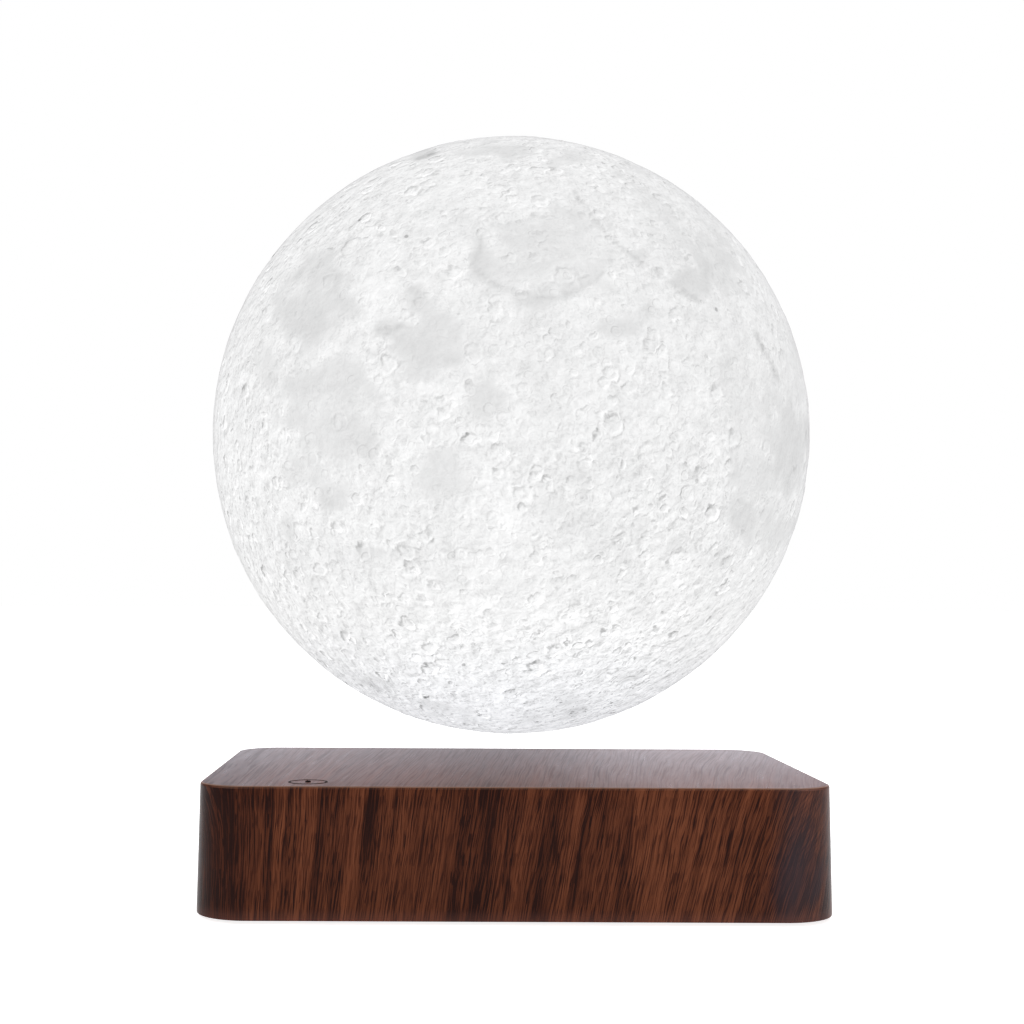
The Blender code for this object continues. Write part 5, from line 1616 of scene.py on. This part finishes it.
def touch_dot_mesh():
    low, high = SHELL_TOP - 0.5, SHELL_TOP + DOT_PROUD
    profile = [(0.0, low), (TOUCH_DOT, low)]
    for k in range(8):
        a = math.pi / 2 * k / 8
        profile.append((TOUCH_DOT * math.cos(a), high - 0.38 + 0.38 * math.sin(a)))
    profile.append((0.0, high))
    bm = bmesh.new()
    turned(bm, profile, 40, TOUCH)
    return mesh_from(bm, "touch_dot")


def rounded_box_ring(w, d, r, z, steps=12):
    pts = []
    for cx, cy, start in ((1, 1, 0), (-1, 1, 90), (-1, -1, 180), (1, -1, 270)):
        for i in range(steps + 1):
            a = math.radians(start + 90.0 * i / steps)
            pts.append((cx * (w - r) + r * math.cos(a),
                        cy * (d - r) + r * math.sin(a), z))
    return pts


def plate_mesh():
    """Cover plate: soft edges, a shallow raised border, screw wells, posts."""
    w, d, r = side_at(4.4)
    inset = WALL + 0.25
    w, d, r = w - inset, d - inset, r - inset
    bm = bmesh.new()
    rings = [rounded_box_ring(w, d, r, 4.4), rounded_box_ring(w, d, r, 2.35)]
    for k in range(1, 5):
        a = math.pi / 2 * k / 4
        rings.append(rounded_box_ring(w - 0.35 * (1 - math.cos(a)),
                                      d - 0.35 * (1 - math.cos(a)),
                                      r - 0.35 * (1 - math.cos(a)),
                                      2.35 - 0.35 * math.sin(a)))
    rings.append(rounded_box_ring(w - 2.2, d - 2.2, r - 2.2, 2.0))
    rings.append(rounded_box_ring(w - 2.4, d - 2.4, r - 2.4, 2.22))
    rings.append(rounded_box_ring(w - 2.55, d - 2.55, r - 2.55, 2.25))
    skin(bm, rings)
    bmesh.ops.recalc_face_normals(bm, faces=bm.faces)
    mesh = bpy.data.meshes.new("cover_plate")
    bm.to_mesh(mesh)
    bm.free()
    plate = loose("cover_plate", mesh)

    def tool(name, build):
        b = bmesh.new()
        build(b)
        bmesh.ops.recalc_face_normals(b, faces=b.faces)
        m = bpy.data.meshes.new(name)
        b.to_mesh(m)
        b.free()
        return loose(name, m)

    def posts(b):
        for i, (sx, sy) in enumerate(((1, 1), (-1, 1), (-1, -1), (1, -1))):
            at = (sx * 50.0, sy * 46.0)
            profile = [(0.0, 3.8), (3.2, 3.8), (3.2, 6.7)]
            if i % 2:
                profile += [(1.1, 6.7), (1.1, 9.4), (0.0, 9.8)]
            else:
                profile += [(0.0, 6.7)]
            turned(b, profile, 32, at)

    def wells(b):
        for sx, sy in ((1, 1), (-1, 1), (-1, -1), (1, -1)):
            turned(b, [(0.0, 1.0), (3.7, 1.0), (3.7, 2.0), (3.3, 2.35), (3.3, 3.3),
                       (1.7, 3.3), (1.7, 5.4), (0.0, 5.4)], 48,
                   (sx * BOSS[0], sy * BOSS[1]))
            turned(b, [(0.0, 1.0), (6.3, 1.0), (6.3, 2.8), (0.0, 2.8)], 64,
                   (sx * FOOT[0], sy * FOOT[1]))
        for sx, sy in ((1, 1), (-1, -1)):
            turned(b, [(0.0, 3.3), (1.3, 3.3), (1.3, 8.0), (0.0, 8.0)], 24,
                   (sx * 50.0, sy * 46.0))
        # a field of slots that lets warm air in
        for row in range(-4, 5):
            for column in range(-2, 3):
                ring_low = rounded_box_ring(5.0, 0.7, 0.69, 1.0, 4)
                ring_high = rounded_box_ring(5.0, 0.7, 0.69, 2.75, 4)
                skin(b, [[(x + column * 13.0, y + row * 3.4, z)
                          for x, y, z in ring] for ring in (ring_low, ring_high)])

    combine(plate, tool("posts", posts), 'UNION')
    combine(plate, tool("wells", wells), 'DIFFERENCE')
    mesh = settle(plate)
    bpy.data.objects.remove(plate, do_unlink=True)
    mesh.transform(Matrix.Scale(MM, 4))
    mesh.shade_smooth()
    mesh.set_sharp_from_angle(angle=math.radians(30.0))
    return mesh


def screw_mesh(name, at, turn):
    """Countersunk-style pan head with a cross recess, seen from below."""
    bm = bmesh.new()
    head = [(0.0, 0.0), (1.6, 0.02), (2.4, 0.12), (2.8, 0.32), (2.97, 0.55),
            (3.0, 0.80), (3.0, 1.0), (1.3, 1.0)]
    # threads: a run of small ridges
    z = 1.4
    while z < 12.0:
        head += [(1.30, z), (1.62, z + 0.35), (1.30, z + 0.70)]
        z += 0.85
    head += [(1.2, 12.6), (0.5, 13.4), (0.0, 13.5)]
    turned(bm, head, 40)
    bmesh.ops.recalc_face_normals(bm, faces=bm.faces)
    mesh = bpy.data.meshes.new(name)
    bm.to_mesh(mesh)
    bm.free()
    screw = loose(name, mesh)
    bm = bmesh.new()
    for quarter in (0, 1):
        part = bmesh.ops.create_cube(bm, size=1.0)["verts"]
        bmesh.ops.scale(bm, vec=(3.1, 0.62, 1.3), verts=part)
        # the arms narrow towards the bottom of the recess
        for v in part:
            if v.co.z > 0:
                v.co.x *= 0.45
        bmesh.ops.rotate(bm, cent=(0, 0, 0), verts=part,
                         matrix=Matrix.Rotation(turn + quarter * math.pi / 2, 3, 'Z'))
    m = bpy.data.meshes.new("recess")
    bmesh.ops.recalc_face_normals(bm, faces=bm.faces)
    bm.to_mesh(m)
    bm.free()
    # two crossing arms are joined first, then cut
    tool = loose("recess", m)
    mod = screw.modifiers.new("recess", 'BOOLEAN')
    mod.operation, mod.solver, mod.object = 'DIFFERENCE', 'EXACT', tool
    mod.use_self = True
    mesh = settle(screw)
    bpy.data.objects.remove(screw, do_unlink=True)
    mesh.transform(Matrix.Translation((at[0], at[1], 2.0)))
    mesh.transform(Matrix.Scale(MM, 4))
    mesh.shade_smooth()
    mesh.set_sharp_from_angle(angle=math.radians(35.0))
    return mesh


def foot_mesh(name, at):
    """Rubber foot: rounded edge, shallow ring moulded in its underside."""
    top = 2.5
    profile = [(0.0, 0.0), (2.2, 0.0), (2.4, 0.16), (2.8, 0.22), (3.2, 0.16),
               (3.4, 0.0)]
    for k in range(7):
        a = math.pi / 2 * k / 6
        profile.append((5.3 + 0.7 * math.sin(a), 0.7 - 0.7 * math.cos(a)))
    profile += [(6.0, top - 0.15), (5.85, top), (0.0, top)]
    bm = bmesh.new()
    turned(bm, profile, 64, at)
    return mesh_from(bm, name, 40.0)


def socket_mesh():
    """Power socket: body with a stepped mouth."""
    w, d, r = side_at(14.4)
    face = d - WALL - 0.3
    back = face - 10.5
    bm = bmesh.new()
    made = bmesh.ops.create_cube(bm, size=1.0)["verts"]
    bmesh.ops.scale(bm, vec=(9.4, 10.5, 11.0), verts=made)
    bmesh.ops.translate(bm, vec=(0.0, (face + back) / 2, 8.9 + 5.5), verts=made)
    bmesh.ops.bevel(bm, geom=list(bm.edges), offset=0.45, segments=4,
                    affect='EDGES', profile=0.5)
    bmesh.ops.recalc_face_normals(bm, faces=bm.faces)
    mesh = bpy.data.meshes.new("power_socket")
    bm.to_mesh(mesh)
    bm.free()
    jack = loose("power_socket", mesh)
    bm = bmesh.new()
    rings = []
    for r, y in ((3.75, face + 1.0), (3.75, face - 0.05), (3.55, face - 0.35),
                 (3.2, face - 0.55), (3.2, face - 9.2)):
        rings.append([(r * math.cos(2 * math.pi * i / 64), y,
                       14.4 + r * math.sin(2 * math.pi * i / 64))
                      for i in range(64)])
    skin(bm, rings)
    bmesh.ops.recalc_face_normals(bm, faces=bm.faces)
    m = bpy.data.meshes.new("mouth")
    bm.to_mesh(m)
    bm.free()
    combine(jack, loose("mouth", m), 'DIFFERENCE')
    bm = bmesh.new()
    skin(bm, [[(1.3 * math.cos(2 * math.pi * i / 24), y,
                14.4 + 1.3 * math.sin(2 * math.pi * i / 24)) for i in range(24)]
              for y in (back - 1.0, face - 1.0)])
    bmesh.ops.recalc_face_normals(bm, faces=bm.faces)
    m = bpy.data.meshes.new("pin_hole")
    bm.to_mesh(m)
    bm.free()
    combine(jack, loose("pin_hole", m), 'DIFFERENCE')
    mesh = settle(jack)
    bpy.data.objects.remove(jack, do_unlink=True)
    mesh.transform(Matrix.Scale(MM, 4))
    mesh.shade_smooth()
    mesh.set_sharp_from_angle(angle=math.radians(32.0))
    return mesh


def pin_mesh():
    w, d, r = side_at(14.4)
    face = d - WALL - 0.3
    back = face - 10.5
    tail, tip = back - 0.6, face - 1.8
    bm = bmesh.new()
    rings = [[(0.0, tail, 14.4)]]
    for r, y in ((1.05, tail), (1.05, tip - 0.75), (1.0, tip - 0.45),
                 (0.85, tip - 0.2), (0.55, tip - 0.04)):
        rings.append([(r * math.cos(2 * math.pi * i / 32), y,
                       14.4 + r * math.sin(2 * math.pi * i / 32))
                      for i in range(32)])
    rings.append([(0.0, tip, 14.4)])
    skin(bm, rings)
    return mesh_from(bm, "socket_pin", 40.0)


# ---------------------------------------------------------------- put together
def carry(material, slot, *names):
    """A CAD node that is shown as it is, with its finish."""
    for name in names:
        ob = NODES[name]
        ob.data.materials.clear()
        ob.data.materials.append(material)


def build_globe():
    pits = make_pits()
    probe = np.concatenate(lunar_surface(-89.0, 150, 240))
    lift = float(relief(probe, pits)[0].max()) + 0.03
    add_object("lunar_globe", globe_mesh(pits, lift), lunar_material("moon_print"),
               "moon", ("moon_globe",))
    add_object("globe_plug", cap_mesh(pits, lift), lunar_material("cap_print"),
               "moon", ("globe_cap",))


def build_base():
    add_object("housing", shell_mesh(), wood_material(), "base",
               ("base_shell",))
    mark = ink("touch_mark")
    line = ink("touch_line", (0.034, 0.025, 0.023), (0.062, 0.046, 0.042))
    add_object("touch_ring", touch_ring_mesh(), line, "base",
               ("touch_mark_ring",))
    add_object("touch_dot", touch_dot_mesh(), mark, "base",
               ("touch_mark_dot",))
    add_object("cover_plate", plate_mesh(),
               plastic("black_plastic", (0.024, 0.024, 0.025), 0.55, 2200.0,
                       0.00005, 0.35), "base", ("bottom_plate",))
    steel = metal("screw_steel", (0.36, 0.36, 0.37), 0.34)
    soft = rubber("foot_rubber")
    for i, (sx, sy) in enumerate(((1, 1), (-1, 1), (-1, -1), (1, -1)), 1):
        add_object("housing_screw_%d" % i,
                   screw_mesh("housing_screw_%d" % i, (sx * BOSS[0], sy * BOSS[1]),
                              0.4 + 0.9 * i), steel, "base",
                   ("cover_screw_%d" % i,))
        add_object("foot_%d" % i, foot_mesh("foot_%d" % i, (sx * FOOT[0],
                                                          sy * FOOT[1])),
                   soft, "base", ("rubber_foot_%d" % i,))
    carry(steel, "screw_steel", "board_screw_1", "board_screw_2")
    add_object("power_socket", socket_mesh(),
               plastic("socket_plastic", (0.018, 0.018, 0.019), 0.42), "base",
               ("dc_jack",))
    nickel = metal("magnet_nickel", (0.62, 0.61, 0.59), 0.24)
    add_object("socket_pin", pin_mesh(), nickel, "base",
               ("dc_jack_pin",))
    green = board_material("circuit_board", (0.014, 0.110, 0.045),
                           (0.80, 0.66, 0.36))
    carry(green, "circuit_board", "main_board", "sensor_board")
    chip = chip_material("chip_plastic")
    carry(chip, "chip_plastic", "controller_chip", "coil_driver_chip_1",
          "coil_driver_chip_2", "hall_sensor_x", "hall_sensor_y", "hall_sensor_z",
          "rectifier_chip")
    carry(sleeve_material("capacitor_sleeve"), "capacitor_sleeve",
          "filter_capacitor_1", "filter_capacitor_2")
    carry(ferrite_material("ferrite_grey"), "ferrite_grey", "power_inductor",
          "ferrite_sheet")
    carry(plastic("tray_plastic", (0.055, 0.056, 0.060), 0.55), "tray_plastic",
          "magnet_tray", "transmitter_tray")
    carry(nickel, "magnet_nickel", *["base_magnet_%d" % i for i in range(1, 9)],
          "float_magnet")
    carry(plastic("bobbin_plastic", (0.60, 0.58, 0.52), 0.50), "bobbin_plastic",
          *["coil_bobbin_%d" % i for i in range(1, 5)])
    carry(winding("coil_copper", 'Z', 0.00055), "coil_copper",
          *["coil_winding_%d" % i for i in range(1, 5)])
    carry(winding("coil_copper_flat", 'R', 0.0009, flat=True), "coil_copper",
          "transmitter_coil", "receiver_coil")
    carry(plastic("lead_sleeve", (0.42, 0.028, 0.020), 0.45), "lead_sleeve",
          "transmitter_lead", "receiver_lead")
    carry(metal("spring_steel", (0.58, 0.58, 0.58), 0.26), "spring_steel",
          "touch_spring")
    carry(board_material("light_board_white", (0.78, 0.78, 0.76),
                         (0.80, 0.70, 0.42)), "light_board_white", "light_board")
    carry(phosphor("led_phosphor"), "led_phosphor",
          *["led_%d" % i for i in range(1, 5)])


# ----------------------------------------------------------------- the studio
def area_light(name, at, target, size, power, colour=(1.0, 1.0, 1.0)):
    data = bpy.data.lights.new(name, 'AREA')
    data.shape = 'SQUARE'
    data.size = size
    data.energy = power
    data.color = colour
    ob = bpy.data.objects.new(name, data)
    bpy.context.scene.collection.objects.link(ob)
    ob.location = at
    ob.rotation_euler = (Vector(target) - Vector(at)).to_track_quat(
        '-Z', 'Y').to_euler()
    return ob


def studio():
    scene = bpy.context.scene
    scene.view_settings.view_transform = 'Standard'
    scene.view_settings.look = 'None'
    world = bpy.data.worlds.new("studio")
    scene.world = world
    world.use_nodes = True
    tree = world.node_tree
    tree.nodes.clear()
    out = tree.nodes.new("ShaderNodeOutputWorld")
    seen = tree.nodes.new("ShaderNodeBackground")
    seen.inputs["Color"].default_value = (1.0, 1.0, 1.0, 1.0)
    seen.inputs["Strength"].default_value = 1.0
    light = tree.nodes.new("ShaderNodeBackground")
    light.inputs["Color"].default_value = (0.97, 0.985, 1.0, 1.0)
    light.inputs["Strength"].default_value = 0.34
    shine = tree.nodes.new("ShaderNodeBackground")
    shine.inputs["Color"].default_value = (0.95, 0.917, 1.0, 1.0)
    where = tree.nodes.new("ShaderNodeTexCoord")
    parts = tree.nodes.new("ShaderNodeSeparateXYZ")
    tree.links.new(where.outputs["Generated"], parts.inputs[0])
    behind = tree.nodes.new("ShaderNodeMapRange")
    behind.interpolation_type = 'SMOOTHSTEP'
    for socket, value in zip(behind.inputs, (0.0, -0.3, 0.9, 0.23, 1.07)):
        socket.default_value = value
    tree.links.new(parts.outputs[1], behind.inputs[0])
    # paler to both sides than straight behind the lamp
    across = tree.nodes.new("ShaderNodeMapRange")
    for socket, value in zip(across.inputs, (0.0, -0.25, 0.35, 0.0, 1.0)):
        socket.default_value = value
    tree.links.new(parts.outputs[0], across.inputs[0])
    sideways = tree.nodes.new("ShaderNodeValToRGB")
    line = sideways.color_ramp
    stops = ((-0.25, 1.25), (-0.14, 1.35), (-0.08, 1.26), (-0.03, 1.02),
             (0.02, 0.84), (0.06, 0.86), (0.11, 1.52), (0.16, 1.60), (0.35, 1.38))
    while len(line.elements) < len(stops):
        line.elements.new(0.5)
    for element, (at, value) in zip(line.elements, stops):
        element.position = (at + 0.25) / 0.60
        element.color = (value / 2, value / 2, value / 2, 1.0)
    doubled = tree.nodes.new("ShaderNodeMath")
    doubled.operation = 'MULTIPLY'
    doubled.inputs[1].default_value = 2.0
    tree.links.new(across.outputs[0], sideways.inputs[0])
    tree.links.new(sideways.outputs[0], doubled.inputs[0])
    product = tree.nodes.new("ShaderNodeMath")
    product.operation = 'MULTIPLY'
    tree.links.new(behind.outputs[0], product.inputs[0])
    tree.links.new(doubled.outputs[0], product.inputs[1])
    tree.links.new(product.outputs[0], shine.inputs["Strength"])
    path = tree.nodes.new("ShaderNodeLightPath")
    mix = tree.nodes.new("ShaderNodeMixShader")
    both = tree.nodes.new("ShaderNodeMixShader")
    tree.links.new(path.outputs["Is Camera Ray"], mix.inputs[0])
    tree.links.new(path.outputs["Is Glossy Ray"], both.inputs[0])
    tree.links.new(light.outputs[0], both.inputs[1])
    tree.links.new(shine.outputs[0], both.inputs[2])
    tree.links.new(both.outputs[0], mix.inputs[1])
    tree.links.new(seen.outputs[0], mix.inputs[2])
    tree.links.new(mix.outputs[0], out.inputs["Surface"])

    # pale table, lit softly from within so that it stays white to the horizon
    s = Shade("pale_floor", (0.92, 0.92, 0.92), 0.9, specular=0.0)
    p = s.coord("Object")
    n = s.noise(p, 3.0, 2.0)
    s.set("Base Color", s.mix(n, (0.90, 0.90, 0.90), (0.94, 0.94, 0.94)))
    s.set("Emission Color", (1.0, 1.0, 1.0, 1.0))
    s.set("Emission Strength", 0.84)
    bm = bmesh.new()
    rings = [circle(r, 0.0, 96) for r in (0.0, 0.4, 1.2, 4.0, 12.0)]
    skin(bm, rings, cap_last=False)
    mesh = bpy.data.meshes.new("floor")
    bm.to_mesh(mesh)
    bm.free()
    floor = bpy.data.objects.new("floor", mesh)
    mesh.materials.append(s.mat)
    scene.collection.objects.link(floor)

    area_light("key", (-0.75, -0.85, 1.05), (0.0, 0.0, 0.12), 0.55, 4.4)
    area_light("overhead", (0.15, 0.25, 1.25), (0.0, 0.0, 0.05), 0.9, 10.0)


make_camera()
studio()
build_globe()
build_base()
